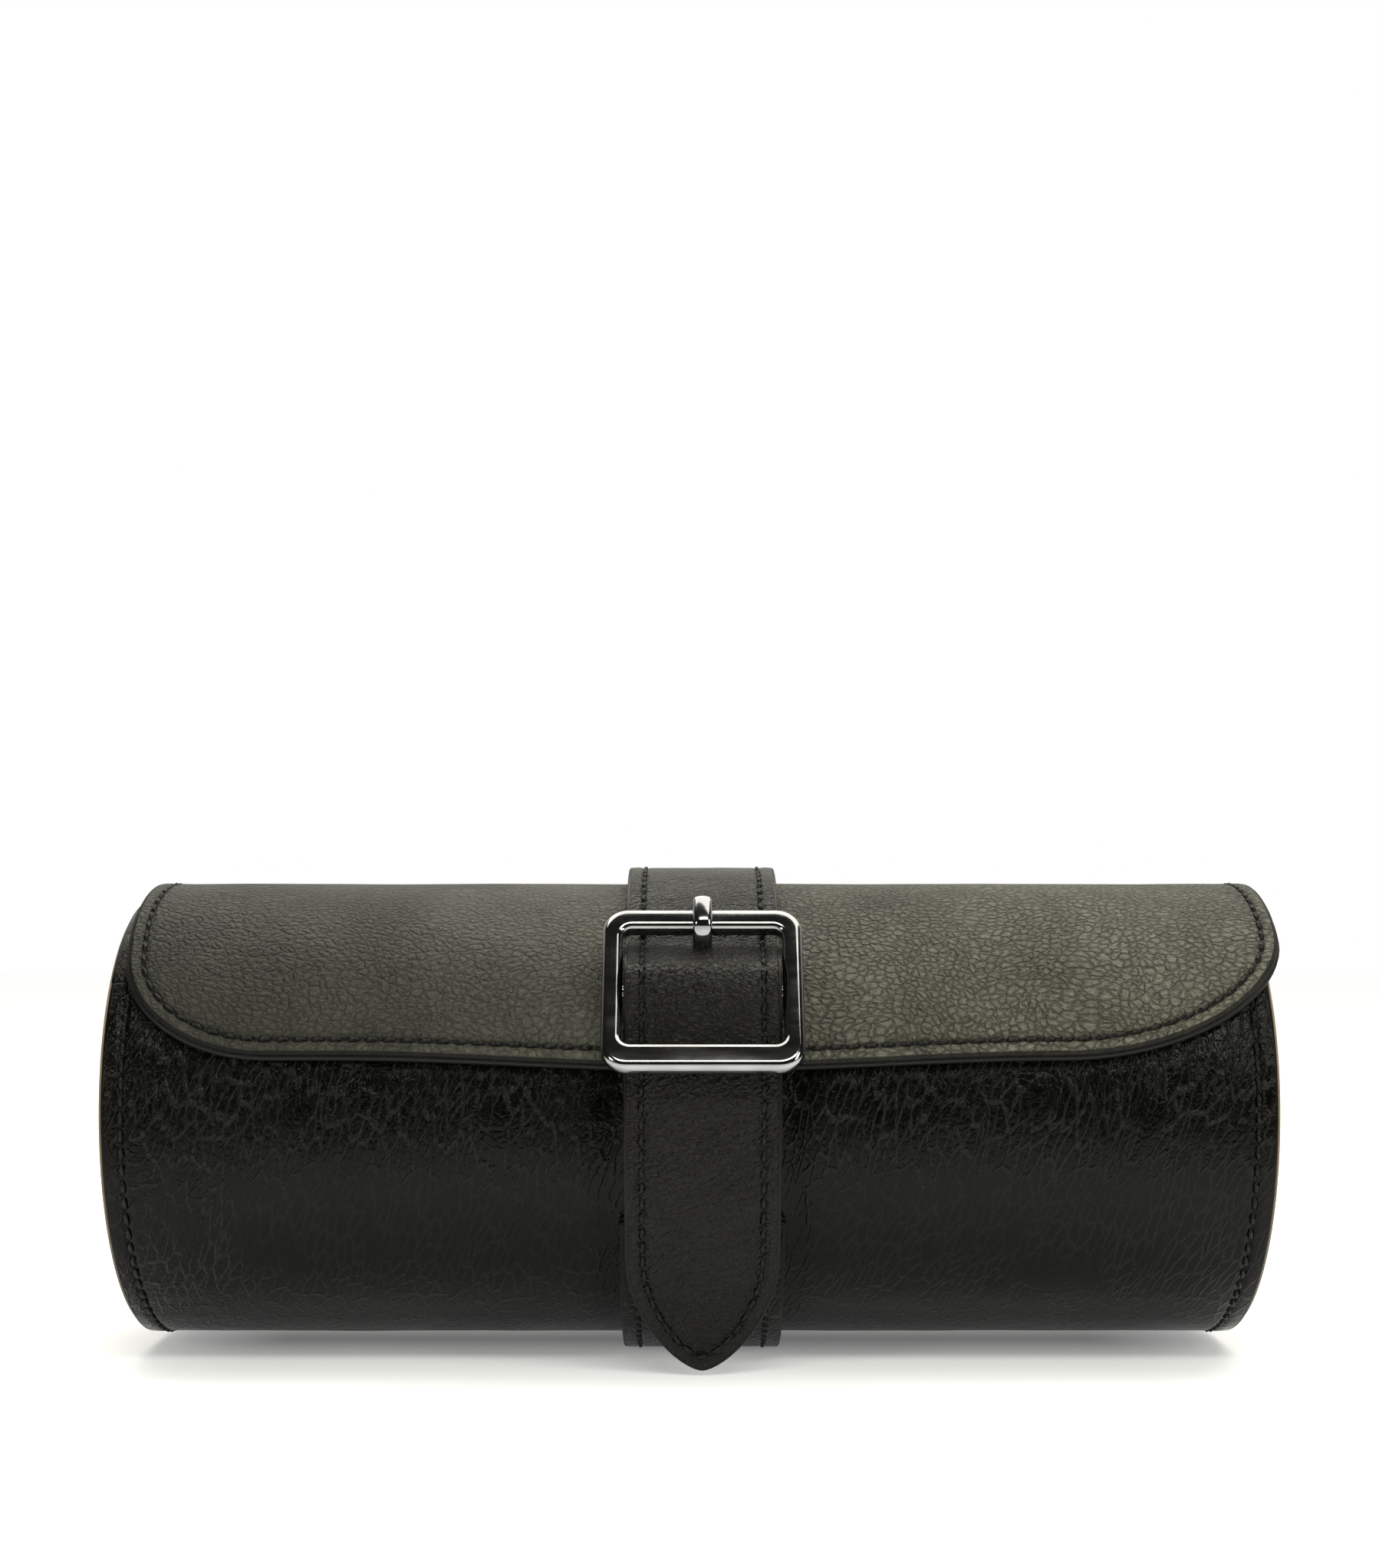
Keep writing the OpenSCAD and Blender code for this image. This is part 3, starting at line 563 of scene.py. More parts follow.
def leather(name, colour, crease, light, cell=1.7, stretch=(1.0, 1.3), turn=0, depth=0.0002,
            roughness=0.5, specular=0.5, lines=0.8, long_creases=0.6, pebbles=1.0, left=1.0, back=1.0,
            front=1.0):
    """Grained leather. cell is the grain's size in mm, stretch and turn shape its cells.

    Negative long_creases stand up as ridges, which are also painted lighter as painted highlights. left, back and
    front scale the colour of those parts, as painted light and shade."""
    m, net, here = new_material(name)
    flat = net.node("UVMap", uv_map="flat").outputs["UV"]
    turned = net.node("Mapping", flat, Rotation=(0, 0, radians(turn))).outputs[0]
    sized = net.vectors("MULTIPLY", turned, (*(s / cell / MM for s in stretch), 1.0))
    edge, groove, strength = (net.node("Attribute", attribute_name=n).outputs["Fac"] for n in LAYERS)
    tone = net.group(HIDE_TONE, Vector=here)
    grain = net.group(HIDE_GRAIN, Vector=sized, Long=long_creases, Pebbles=pebbles)
    wear_and_highlight = net.group(EDGE_WEAR_AND_HIGHLIGHT, Vector=here, Edge=edge)
    lined = net.times(grain["Creases"], net.times(strength, lines))
    coats = [(net.times(tone["Patches"], 0.42), crease), (net.times(tone["Specks"], 0.3), light),
             # partly edge wear, partly painted highlight on the raised band outside the stitches
             (net.times(wear_and_highlight["Rub"], 0.6), light),
             # painted shade: the valleys round the pebbles and the crease lines are painted darker
             (net.times(grain["Valleys"], net.times(strength, 0.5)), crease), (lined, crease),
             # painted shade in the thread groove
             (net.ramp(groove, 0.2, 0.75, 0.0, 0.7), (0.0025, 0.0025, 0.0025)),
             (net.times(wear_and_highlight["Paint"], 0.92), (0.003, 0.003, 0.003))]
    # painted highlight: the body's raised ridges are painted lighter, as glints of the lamps
    if long_creases < 0:
        coats.insert(1, (net.times(grain["Ridges"], strength), (0.02, 0.0195, 0.017)))
    base = colour
    for share, coat in coats:
        base = net.mix(share, base, coat)
    # painted light and shade: the colour is scaled down at the left and the back and up at the front
    place = net.node("SeparateXYZ", flat).outputs
    painted_light_factor = net.ramp(place["X"], -0.088, 0.08, left, 1)
    painted_light_factor = net.times(painted_light_factor, net.ramp(place["Y"], 0.066, 0.108, 1, back))
    painted_light_factor = net.times(painted_light_factor, net.ramp(place["Y"], 0.014, 0.055, front, 1))
    shine = net.times(tone["Patches"], 0.07, roughness - 0.03)
    shine = net.times(lined, 0.2, shine)
    shine = net.times(wear_and_highlight["Paint"], 0.12, shine, clamp=True)
    rise = net.times(net.times(grain["Height"], strength), net.maths("SUBTRACT", 1.0, wear_and_highlight["Paint"]))
    return surface(m, net, net.vectors("SCALE", base, Scale=painted_light_factor), shine, rise, depth,
                   Specular_IOR_Level=specular)


BLACK = leather(
    "body_leather", (0.0024, 0.0023, 0.0019), (0.0006, 0.0006, 0.0005), (0.0075, 0.0072, 0.006),
    cell=0.95, stretch=(0.62, 1.0), turn=-72, depth=0.00040, roughness=0.19, specular=0.14,
    long_creases=-1.0, pebbles=0.22)
END_BLACK = leather(
    "end_leather", (0.004, 0.0038, 0.0032), (0.0010, 0.0010, 0.0009), (0.0085, 0.0082, 0.007),
    cell=1.1, depth=0.00014, roughness=0.52, specular=0.10, long_creases=0.4)
# The flap's olive-grey stands partly for the sheen of the lamps above: its front is painted lighter, its left darker
# as painted shade, and its back goes near black.
FLAP_BLACK = leather(
    "flap_leather", (0.122, 0.120, 0.094), (0.006, 0.0057, 0.0045), (0.245, 0.242, 0.190), cell=1.5,
    stretch=(1.0, 1.15), turn=8, depth=0.00060, roughness=0.46, specular=0.22, lines=0.5, left=0.25,
    back=0.06, front=1.3)
FLAP_LINING = leather(
    "lining_leather", (0.012, 0.0115, 0.0095), (0.003, 0.003, 0.0025), (0.03, 0.029, 0.025),
    cell=0.8, depth=0.00005, roughness=0.40, specular=0.35, lines=0.5)
STRAP_BLACK = leather(
    "top_strap_leather", (0.0052, 0.0044, 0.0030), (0.0010, 0.0009, 0.0007), (0.018, 0.016, 0.012),
    cell=1.15, stretch=(0.95, 1.1), turn=20, depth=0.00045, roughness=0.26, specular=0.23,
    pebbles=0.75)
STRAP_LINING = leather(
    "under_side_leather", (0.005, 0.005, 0.004), (0.0015, 0.0015, 0.0015), (0.010, 0.010, 0.0085),
    cell=0.7, depth=0.00005, roughness=0.45, specular=0.2, lines=0.5)
print("leathers:", ", ".join(m.name for m in bpy.data.materials if "leather" in m.name))

# %% [markdown]
# The other finishes are simpler. Thread is a twist of waxed fibres, suede is a nap of short hairs
# that catch light at the sides, the buckle is dark polished metal with faint wipe marks, and the
# piping shows the raw tan edge of thick leather.

# %% Suede, board, thread, metal, tan edge
net, given = open_group("nap", Vector=None, Scale=900.0)
at = net.vectors("SCALE", given["Vector"], Scale=given["Scale"])
NAP = close_group(net, Height=net.noise(net.vectors("MULTIPLY", at, (1.0, 0.55, 1.0)), 1.6, 4, 0.7),
                  Brushed=net.ramp(net.noise(at, 0.055, 3, 0.6), 0.35, 0.65))


def fibrous(name, colour, light, scale, depth, roughness, sheen):
    """Suede and board: a fibrous surface with brushed patches."""
    m, net, here = new_material(name)
    nap = net.group(NAP, Vector=here, Scale=scale)
    base = net.mix(net.ramp(nap["Height"], 0.3, 0.5, 0.45, 0.0), net.mix(nap["Brushed"], colour, light),
                   tuple(c * 0.45 for c in colour))
    rough = net.times(nap["Height"], 0.15, roughness - 0.07, clamp=True)
    return surface(m, net, base, rough, nap["Height"], depth, Sheen_Weight=sheen, Sheen_Roughness=0.45,
                   Specular_IOR_Level=0.25)


SUEDE = fibrous("suede", (0.30, 0.225, 0.145), (0.37, 0.29, 0.20), 1400, 0.00012, 0.85, 0.5)
BOARD = fibrous("board", (0.21, 0.17, 0.12), (0.27, 0.22, 0.16), 700, 0.00008, 0.8, 0.0)

m, net, here = new_material("thread")
twist = net.node("TexWave", here, wave_type="BANDS", bands_direction="DIAGONAL", Scale=420.0,
                 Distortion=1.5, Detail=1.0, Detail_Scale=2.0).outputs["Fac"]
THREAD = surface(m, net, net.mix(twist, (0.002, 0.002, 0.002), (0.008, 0.008, 0.0075)),
                 net.ramp(twist, 0, 1, 0.5, 0.38), twist, 0.0001, Specular_IOR_Level=0.25)

m, net, here = new_material("gunmetal")
wiped = net.noise(net.vectors("MULTIPLY", here, (60.0, 240.0, 240.0)), 1.0, 4, 0.6)
haze = net.ramp(net.noise(here, 160.0), 0.35, 0.65)
GUNMETAL = surface(m, net, net.mix(haze, (0.36, 0.36, 0.37), (0.44, 0.44, 0.45)),
                   net.ramp(wiped, 0.3, 0.75, 0.07, 0.16), wiped, 0.00002, 0.4, Metallic=1.0)

m, net, here = new_material("tan_edge")
fibres = net.group(NAP, Vector=here, Scale=1100)["Height"]
patches = net.times(net.group(HIDE_TONE, Vector=here)["Patches"], 0.5)
raw = net.mix(patches, net.mix(fibres, (0.20, 0.155, 0.09), (0.46, 0.375, 0.25)), (0.24, 0.19, 0.12))
TAN_EDGE = surface(m, net, raw, net.times(fibres, 0.2, 0.5), fibres, 0.0001)
print("other finishes:", SUEDE.name, BOARD.name, THREAD.name, GUNMETAL.name, TAN_EDGE.name)

# %% [markdown]
# ## The barrel's wrap
#
# The wrap is one hide round a stiff board. Pulled tight by the straps, it swells beside them and
# sinks where they press, and its thread rows lie 3.9 mm in from the ends. A plain tube would look
# turned on a lathe, so the bent sheet also gets these dents and a slow, uneven swell.

# %% Places round the roll
def round_roll(radius):
    """A place function for sheets whose face has this radius: Y is the arc length on that radius."""
    def place(x, y, z):
        a, r = y / radius, radius + z
        return x, -r * cos(a), AXIS_Z + r * sin(a)
    return place


def arc(radius, angle):
    return radius * radians(angle)


SEAM_X = PIPING_FACE - 3.9
STRAP_DENT = 15.4        # the straps press the hide this far to both sides
LIP_SEAM = arc(WRAP_R, LIP - 3) - 0.35
HIDE_T, BOARD_T = WRAP_R - BOARD_R, BOARD_R - LINING_R


def swell(x, y, size, seed):
    """Slow unevenness of stretched leather, in millimetres."""
    return (noise.noise(Vector((x / size, y / size, seed)))
            + 0.5 * noise.noise(Vector((x / size * 2.3, y / size * 2.3, seed + 7))))


def wrap_height(x, y, edge):
    """The wrap's relief: grooves, rounded rims, dents beside the strap and a slow swell."""
    rise, groove = groove_shape(abs(x) - SEAM_X)
    if abs(x) < SEAM_X - 1:
        low, line = groove_shape(y - LIP_SEAM)
        if line > groove:
            rise, groove = low, line
    angle = degrees(y / WRAP_R)
    front = smoothstep((angle + 75) / 35) * smoothstep((32 - angle) / 18)
    side = abs(x - SHIFT) - STRAP_DENT
    dent = -0.95 * exp(-(side / 1.9) ** 2) + 0.24 * exp(-((side - 6.5) / 4.5) ** 2)
    edge_lift = 0.12 * exp(-((abs(x) - (SEAM_X + 1.6)) / 0.9) ** 2)
    grain = 0.4 + 0.6 * smoothstep((angle + 16) / 22) + 0.5 * smoothstep((-72 - x) / 14)
    grain = max(grain, 0.75 * smoothstep((-60 - angle) / 40))
    return rise + edge_lift + dent * front + 0.09 * swell(x, y, 16, 1.0), groove, min(1.0, grain)


# %% Wrap
low, high = arc(WRAP_R, WRAP_BACK), arc(WRAP_R, LIP)
bm = rectangle((-WRAP_HALF, low), (WRAP_HALF, high), (2.2, 1.8))
cut_lines(bm, 0, [s * (SEAM_X + d) for s in (-1, 1)
                  for d in (-1.3, -0.75, -0.42, -0.2, 0, 0.2, 0.42, 0.75, 1.3, 2.2)])
cut_lines(bm, 1, [LIP_SEAM + d for d in (-0.9, -0.42, -0.2, 0, 0.2, 0.42, 0.9)])
set_edge(bm, lambda co, old: min(WRAP_HALF - abs(co.x), high - co.y))
make_sheet("wrap_leather", bm, HIDE_T, 0.4, round_roll(WRAP_R), BLACK, "barrel", ["wrap_leather"],
           "black_leather", height=wrap_height,
           square=lambda co: co.y < low + 0.01 and abs(co.x) < WRAP_HALF - 0.01)
rows = [[(s * SEAM_X, y) for y in np.linspace(low + 1.0, LIP_SEAM, 60)] for s in (-1, 1)]
rows.append([(-SEAM_X + 1.2, LIP_SEAM), (SEAM_X - 1.2, LIP_SEAM)])
sew("wrap_stitches", rows, round_roll(WRAP_R), "barrel", ["wrap_seams"])

# %% [markdown]
# Inside, the board carries a suede lining. The lining is a thinner sheet, bent the same way, and the
# leather's lip is turned over its front edge.

# %% Wrap lining and the turned lip
bm = rectangle((-INNER_HALF, arc(LINING_R, WRAP_BACK)), (INNER_HALF, arc(LINING_R, LIP)), (4, 2.4))
make_sheet("wrap_lining", bm, LINING_R - INNER_R, 0.35, round_roll(LINING_R), SUEDE, "barrel",
           ["wrap_lining"], "suede")
TURN = 1.4
turn_from = arc(BOARD_R, LIP) - TURN
bm = rectangle((-INNER_HALF, turn_from), (INNER_HALF, turn_from + TURN - 0.02), (4, 0.7))
make_sheet("turned_lip", bm, BOARD_T, 0.3, round_roll(BOARD_R), BLACK, "barrel", (), "black_leather")

# %% [markdown]
# ## The ends
#
# Each end is a round of board covered with leather, drawn tight over a little padding, with a piping
# of raw-edged tan leather round it. Spinning a drawn section gives the piping. The face itself is a
# circle with inset rings, domed by its distance from the middle.

# %% Ends
END_T = 1.4
BINDING_FOLD = 97.1      # the binding runs on beside the fold outside of this X


def end_place(side, face):
    """A place function for the rounds: the flat piece's X and Y become the roll's Y and Z."""
    return lambda x, y, z: (side * (face + z), x, AXIS_Z + y)


def round_sheet(radius, insets, step=3.0):
    bm = new_sheet()
    edge = bm.verts.layers.float["edge_mm"]
    bmesh.ops.create_circle(bm, cap_ends=True, radius=radius, segments=128)
    face = bm.faces[:][0]
    total = 0
    for inset in insets:
        bmesh.ops.inset_region(bm, faces=[face], thickness=inset, use_even_offset=True,
                               use_boundary=True)
        total += inset
        for v in face.verts:
            v[edge] = total
    reach = radius - total
    cut_grid(bm, face, (-reach, -reach), (reach, reach), (step, step))
    return bm


for side, hand in ((-1, "left"), (1, "right")):
    def end_height(x, y, e):
        r = hypot(x, y)
        crown = 1.05 * (1 - smoothstep(r / 37.0)) ** 0.8 + 0.75 * smoothstep((36.6 - r) / 5)
        rim = -0.25 * exp(-((r - 36.2) / 0.7) ** 2)
        # the groove share paints shade in the groove round the face
        groove = 0.7 * exp(-((r - 36.5) / 0.5) ** 2)
        return crown * 0.8 + rim + 0.05 * swell(x, y, 12, 3.0 + side), groove, 0.8

    bm = round_sheet(BOARD_R - 0.05, [1.6, 0.5, 0.5, 0.6, 1.2, 2.5, 4])
    make_sheet(f"end_leather_{hand}", bm, END_T, 0.3, end_place(side, END_FACE), END_BLACK, "barrel",
               [f"end_leather_{hand}"], "black_leather", height=end_height)
    bm = round_sheet(BOARD_R - 0.05, [1.5, 2], 6.0)
    make_sheet(f"end_lining_{hand}", bm, 1.0, 0.25, end_place(-side, -INNER_HALF), SUEDE, "barrel",
               [f"end_lining_{hand}"], "suede")

    bm = bmesh.new()
    out, rise, inner = PIPING_FACE - 0.05, BOARD_R + 0.6, BOARD_R - 1.7
    section = [(END_FACE, inner), (out, inner), (out, rise), (WRAP_HALF + 0.05, rise),
               (WRAP_HALF + 0.05, BOARD_R), (END_FACE, BOARD_R)]
    face = bm.faces.new([bm.verts.new((side * x * MM, 0, r * MM)) for x, r in section])
    bevel(bm, face.verts[:], 0.3 * MM, affect="VERTICES")
    rim = bm.edges[:]
    bmesh.ops.delete(bm, geom=bm.faces[:], context="FACES_ONLY")
    bmesh.ops.spin(bm, geom=rim + bm.verts[:], cent=(0, 0, 0), axis=(1, 0, 0), steps=160, angle=2 * pi,
                   use_merge=True)
    bmesh.ops.remove_doubles(bm, verts=bm.verts[:], dist=1e-7)
    face_outwards(bm)
    lift(bm, AXIS_Z * MM)
    make_piece(f"end_piping_{hand}", bm, TAN_EDGE, "barrel", [f"end_piping_{hand}"], "tan_edge")

    a0, a1 = arc(WRAP_R, LIP), arc(WRAP_R, FLAP_BACK - 1)
    x0, x1 = sorted((side * INNER_HALF, side * WRAP_HALF))
    bm = rectangle((x0, a0), (x1, a1 if side > 0 else arc(WRAP_R, FOLD_END - 0.2)), (1.1, 1.8))
    if side < 0:
        cut_lines(bm, 0, [-BINDING_FOLD])
        cut_lines(bm, 1, [a1])
        middles = {f: f.calc_center_median() for f in bm.faces}
        fold = [f for f in bm.faces if middles[f].y > a1 and middles[f].x > -BINDING_FOLD]
        bmesh.ops.delete(bm, geom=fold, context="FACES")
    set_edge(bm, lambda co, old: min(co.x - x0, x1 - co.x))
    make_sheet(f"end_binding_{hand}", bm, HIDE_T, 0.4, round_roll(WRAP_R), BLACK, "barrel",
               [f"end_binding_{hand}"], "black_leather",
               height=lambda x, y, e: (0.03 * swell(x, y, 6, 4.0), 0, 0.8))

# %% [markdown]
# ## The flap
#
# The flap has large round lower corners, wider on the right, and its lower edge hangs down a little
# at the middle. The leather stops 0.6 mm short of the lining, which shows as a rounded lip below it.
# Lines parallel to the outline are made by extruding the outline's edge inwards, margin by margin,
# so that the groove follows the corners. Flap and back fold are one hide, as on the real roll, and
# its last millimetres run down to the barrel's radius.

# %% Flap outline
FLAP_LEFT, FLAP_RIGHT = SHIFT - 99.0, SHIFT + 99.0
FLAP_LOW = arc(FLAP_R, 18)
LEFT_CORNER, RIGHT_CORNER = (25, 20), (38, 25)
DIP, DIP_HALF = 2.0, 62
LIP_OUT = 0.6            # the lining shows this much
ROW = 3.3                # thread row, from the lining's edge


def flap_outline(end_angle, sides=34, turn=16):
    """The outline from the back on the left, round the front, to the back on the right."""
    top = arc(FLAP_R, end_angle)

    def outline(m):
        def corner(x, way, size, angles):
            return [(x + way * (size[0] - m) * cos(a), FLAP_LOW + size[1] - (size[1] - m) * sin(a))
                    for a in np.radians(angles)]
        left = corner(FLAP_LEFT + LEFT_CORNER[0], -1, LEFT_CORNER, np.linspace(0, 90, turn))
        right = corner(FLAP_RIGHT - RIGHT_CORNER[0], 1, RIGHT_CORNER, np.linspace(90, 0, turn + 6))
        low = []
        for x in np.linspace(left[-1][0], right[0][0], 66)[1:-1]:
            u = min(1, abs(x - SHIFT) / DIP_HALF)
            low.append((x, FLAP_LOW + m - DIP * (0.5 + 0.5 * cos(pi * u))))
        down = [(left[0][0], y) for y in np.linspace(top, left[0][1], sides)[:-1]]
        up = [(right[-1][0], y) for y in np.linspace(right[-1][1], top, sides)[1:]]
        return down + left + low + right + up
    return outline


def flared(x, angle):
    """The flap's sides spread a little where it turns over the top."""
    share = smoothstep((angle - 36) / 26) * (1 - smoothstep((angle - 128) / 26))
    side = smoothstep((abs(x) - 70) / 26)
    return x + (side * (0.7 + 0.9 * share) if x > 0 else -side * 1.1 * share)


def flap_place(x, y, z):
    """Round the roll on the flap's radius, and down to the wrap's radius in the fold."""
    a = y / FLAP_R
    u = smoothstep((degrees(a) - FLAP_BACK) / (FOLD_END - FLAP_BACK))
    r = FLAP_R - (FLAP_R - WRAP_R) * u + z * (1 + 0.16 * u)
    x = min(x, FLAP_RIGHT - LIP_OUT - 0.6 * u)
    return x + (flared(x, degrees(a)) - x) * (1 - u), -r * cos(a), AXIS_Z + r * sin(a)


def flap_height(x, y, edge):
    back = smoothstep((FLAP_BACK - 6 - degrees(y / FLAP_R)) / 4)
    rise, groove = groove_shape(edge - (ROW - LIP_OUT), 0.38, 0.52)
    band = 0.10 * exp(-((edge - 1.2) / 0.75) ** 2) + 0.05 * exp(-((edge - 3.5) / 0.6) ** 2)
    inside = smoothstep((edge - 2) / 5)
    grain = 0.55 + 0.45 * smoothstep((x + 30) / 50)
    return (rise + band) * back + 0.10 * inside * swell(x, y, 22, 9.0), groove * back, grain


# %% Flap leather with the back fold
LEATHER_T = 1.2
margins = [LIP_OUT + d for d in (0, 0.45, 1.0, 1.6, 2.0, 2.2, 2.4, 2.6, 2.8, 3.2, 3.9, 5.2, 7.2)]
fold_y = arc(FLAP_R, FOLD_END)
bm = ringed(flap_outline(FOLD_END, 50), margins, (2.2, 1.9))
flap_leather = make_sheet(
    "flap_leather", bm, LEATHER_T, 0.5, flap_place, FLAP_BLACK, None, ["flap_leather", "fold_leather"],
    "black_leather", height=flap_height, segments=4, square=lambda co: co.y > fold_y - 0.01)


def height_of(radius, angle):
    return polar(radius, angle)[1] * MM


fold_y_place = polar(41.5, 172)[0] * MM
fold_start = (0, fold_y_place, height_of(40, 175.5))
fold_stop = (0, fold_y_place, height_of(43, 168.5))
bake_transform(flap_leather, "barrel", "flap", start=fold_start, end=fold_stop)
sew("flap_stitches", [flap_outline(FLAP_BACK - 6)(ROW)], flap_place, "flap", ["flap_seam"], -0.16)

# %% [markdown]
# The lining under the flap is a second sheet. Its middle is thinner, because the flap's board lies
# between it and the leather, and its edge is turned and pressed round.

# %% Flap lining and fold lining
FOLD_R = 40              # radius on which the fold's lining is measured
FOLD_LEN = arc(FOLD_R, FOLD_END - FLAP_BACK - 0.4)


def lining_height(x, y, edge):
    pocket = -0.64 * smoothstep((edge - 6.0) / 0.9)
    return pocket + 0.03 * smoothstep(edge / 3) * swell(x, y, 9, 5.0) * (edge < 5.5), 0, 0.8


def lining_place(x, y, z):
    return round_roll(FLAP_R)(flared(x, degrees(y / FLAP_R)), y, z)


def fold_lining_place(x, y, z):
    """From the wrap lining's radius at the fold's low side to the flap lining's at its high side."""
    a = radians(FOLD_END - 0.2) - y / FOLD_R
    r = LINING_R + (41.2 - LINING_R) * smoothstep(y / FOLD_LEN) + z
    return x, -r * cos(a), AXIS_Z + r * sin(a)


bm = ringed(flap_outline(FLAP_BACK), [0, 0.5, 1.1, 1.8, 3.5, 5.4, 6.0, 6.9, 8.0], (3.5, 2.2))
set_edge(bm, lambda co, old: min(old, arc(FLAP_R, FLAP_BACK) - co.y))
make_sheet("flap_lining", bm, 1.5, 0.62, lining_place, FLAP_LINING, "flap", ["flap_lining"],
           "flap_lining_leather", height=lining_height, drop=LEATHER_T, segments=4)
bm = rectangle((-INNER_HALF + 0.3, 0), (INNER_HALF - 0.3, FOLD_LEN), (5, 0.5))
fold_lining = make_sheet("fold_lining", bm, 1.0, 0.2, fold_lining_place, SUEDE, None, ["fold_lining"],
                         "suede")
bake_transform(fold_lining, "barrel", "flap", start=fold_start, end=fold_stop)

# %% [markdown]
# ## The straps
#
# The closing strap is sewn to the back of the flap, runs over the top, under the buckle's top bar,
# over its centre bar and under its bottom bar, and hangs down with a pointed tail. Its side view is
# one smooth line. The strap is cut and stitched flat, and each vertex is then carried to that line:
# its Y is the way along the line, and its Z the distance from it.

# %% The buckle's own plane and the strap's line
BUCKLE_TILT, BUCKLE_AT = 36.0, 32.0
FRAME_R, BAR_R = 47.75, 45.75
lean = radians(BUCKLE_AT - BUCKLE_TILT)
FRAME_N, FRAME_UP = FRAME_R * cos(lean), FRAME_R * sin(lean)
BAR_N, BAR_UP = BAR_R * cos(lean) - FRAME_N, BAR_R * sin(lean) - FRAME_UP
WINDOW_W, WINDOW_H, SIDE_BAR, CROSS_BAR, FRAME_T = 26.9, 21.8, 3.5, 4.2, 3.2
CREST = BAR_N + 2.5 + GAP + STRAP_T / 2


def on_buckle(up, out):
    """Place, as (y, z), of a point of the buckle's plane: up the frame and out of its face."""
    c, s = cos(radians(BUCKLE_TILT)), sin(radians(BUCKLE_TILT))
    n, u = FRAME_N + out, FRAME_UP + up
    return -n * c + u * s, AXIS_Z + n * s + u * c


def smooth_line(points, n=24):
    """A dense smooth line through the points, with its length run and its outward normals."""
    p = np.array(points, float)
    p = np.vstack([2 * p[0] - p[1], p, 2 * p[-1] - p[-2]])
    u = np.linspace(0, 1, n, endpoint=False)[:, None]
    parts = [0.5 * (2 * b + (c - a) * u + (2 * a - 5 * b + 4 * c - d) * u ** 2
                    + (3 * b - a - 3 * c + d) * u ** 3) for a, b, c, d in zip(p, p[1:], p[2:], p[3:])]
    line = np.vstack(parts + [p[-2:-1]])
    run = length_run(line)
    way = np.gradient(line, run, axis=0)
    way /= np.hypot(way[:, 0], way[:, 1])[:, None]
    return run, line, np.stack([way[:, 1], -way[:, 0]], 1)


def along_line(run, line, out, x0=0.0, face=0.0):
    """A place function that carries a flat piece to a line, with its face that far off the line."""
    def place(x, y, z):
        (py, pz), (ny, nz) = read_off(y, run, line), read_off(y, run, out)
        return x + x0, py + (face + z) * ny, pz + (face + z) * nz
    return place


TAIL_R, TAIL_ANGLE, TAIL_LEN, POINT = 44.5, -18.0, 28.6, 22.0
STRAP_R = FLAP_R + GAP + STRAP_T / 2
over = [polar(FLAP_R + STRAP_T / 2 + GAP * smoothstep((140 - a) / 8), a)
        for a in np.linspace(166, 52, 40)]
half = WINDOW_H / 2
top_up = half + CROSS_BAR / 2
through = [on_buckle(up, out) for up, out in (
    (top_up, sqrt(STRAP_R ** 2 - (FRAME_UP + top_up) ** 2) - FRAME_N), (half, -3.7),
    (half * 0.74, CREST - 4.3), (half * 0.36, CREST - 1.5), (0.8, CREST), (-half * 0.28, CREST - 1),
    (-half * 0.64, CREST - 3.3))]
leave = on_buckle(-half, -3.5)
leave_r, leave_a = hypot(leave[0], leave[1] - AXIS_Z), degrees(atan2(leave[1] - AXIS_Z, -leave[0]))
bow = [polar(TAIL_R + (leave_r - TAIL_R) * u * u, TAIL_ANGLE + (leave_a - TAIL_ANGLE) * u)
       for u in np.linspace(1, 0, 7)]
down = radians(TAIL_ANGLE)
tail = [(bow[-1][0] - d * sin(down), bow[-1][1] - d * cos(down))
        for d in np.linspace(0, TAIL_LEN, 9)[1:]]
strap_line = smooth_line(over + through + bow + tail)
STRAP_LEN = float(strap_line[0][-1])
print(f"closing strap: {STRAP_LEN:.1f} mm from its sewn end to its tip")

# %% Strap outline and layers
EDGE_ROW = 3.0
STRAP_THREAD = {"width": 0.75, "pitch": 2.7}


def strap_outline(margin):
    """From the sewn end on the left, round the point, to the sewn end on the right."""
    half, point = STRAP_HALF - margin, POINT - margin
    left = [(-half, y) for y in np.linspace(0, STRAP_LEN - POINT, 110)]
    tip = []
    for a in np.radians(np.linspace(90, 0, 16)[1:]):
        d = point * (1 - cos(a))
        tip.append((half * sin(pi / 2 * d / point) ** 0.62, STRAP_LEN - margin - d))
    return left + [(-x, y) for x, y in tip] + tip[-2::-1] + [(-x, y) for x, y in reversed(left)]


def strap_height(x, y, edge):
    rise, groove = groove_shape(edge - EDGE_ROW, 0.30, 0.45)
    crown = 0.10 * exp(-((edge - 1.6) / 0.8) ** 2)
    return rise + crown + 0.05 * smoothstep(edge / 4) * swell(x, y, 7, 12.0), groove, 0.85


def blend_strap(piece):
    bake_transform(piece, "flap", "strap", start=(0, polar(44, 139)[0] * MM, 0.08), end=(0, polar(44, 118)[0] * MM, 0.08))


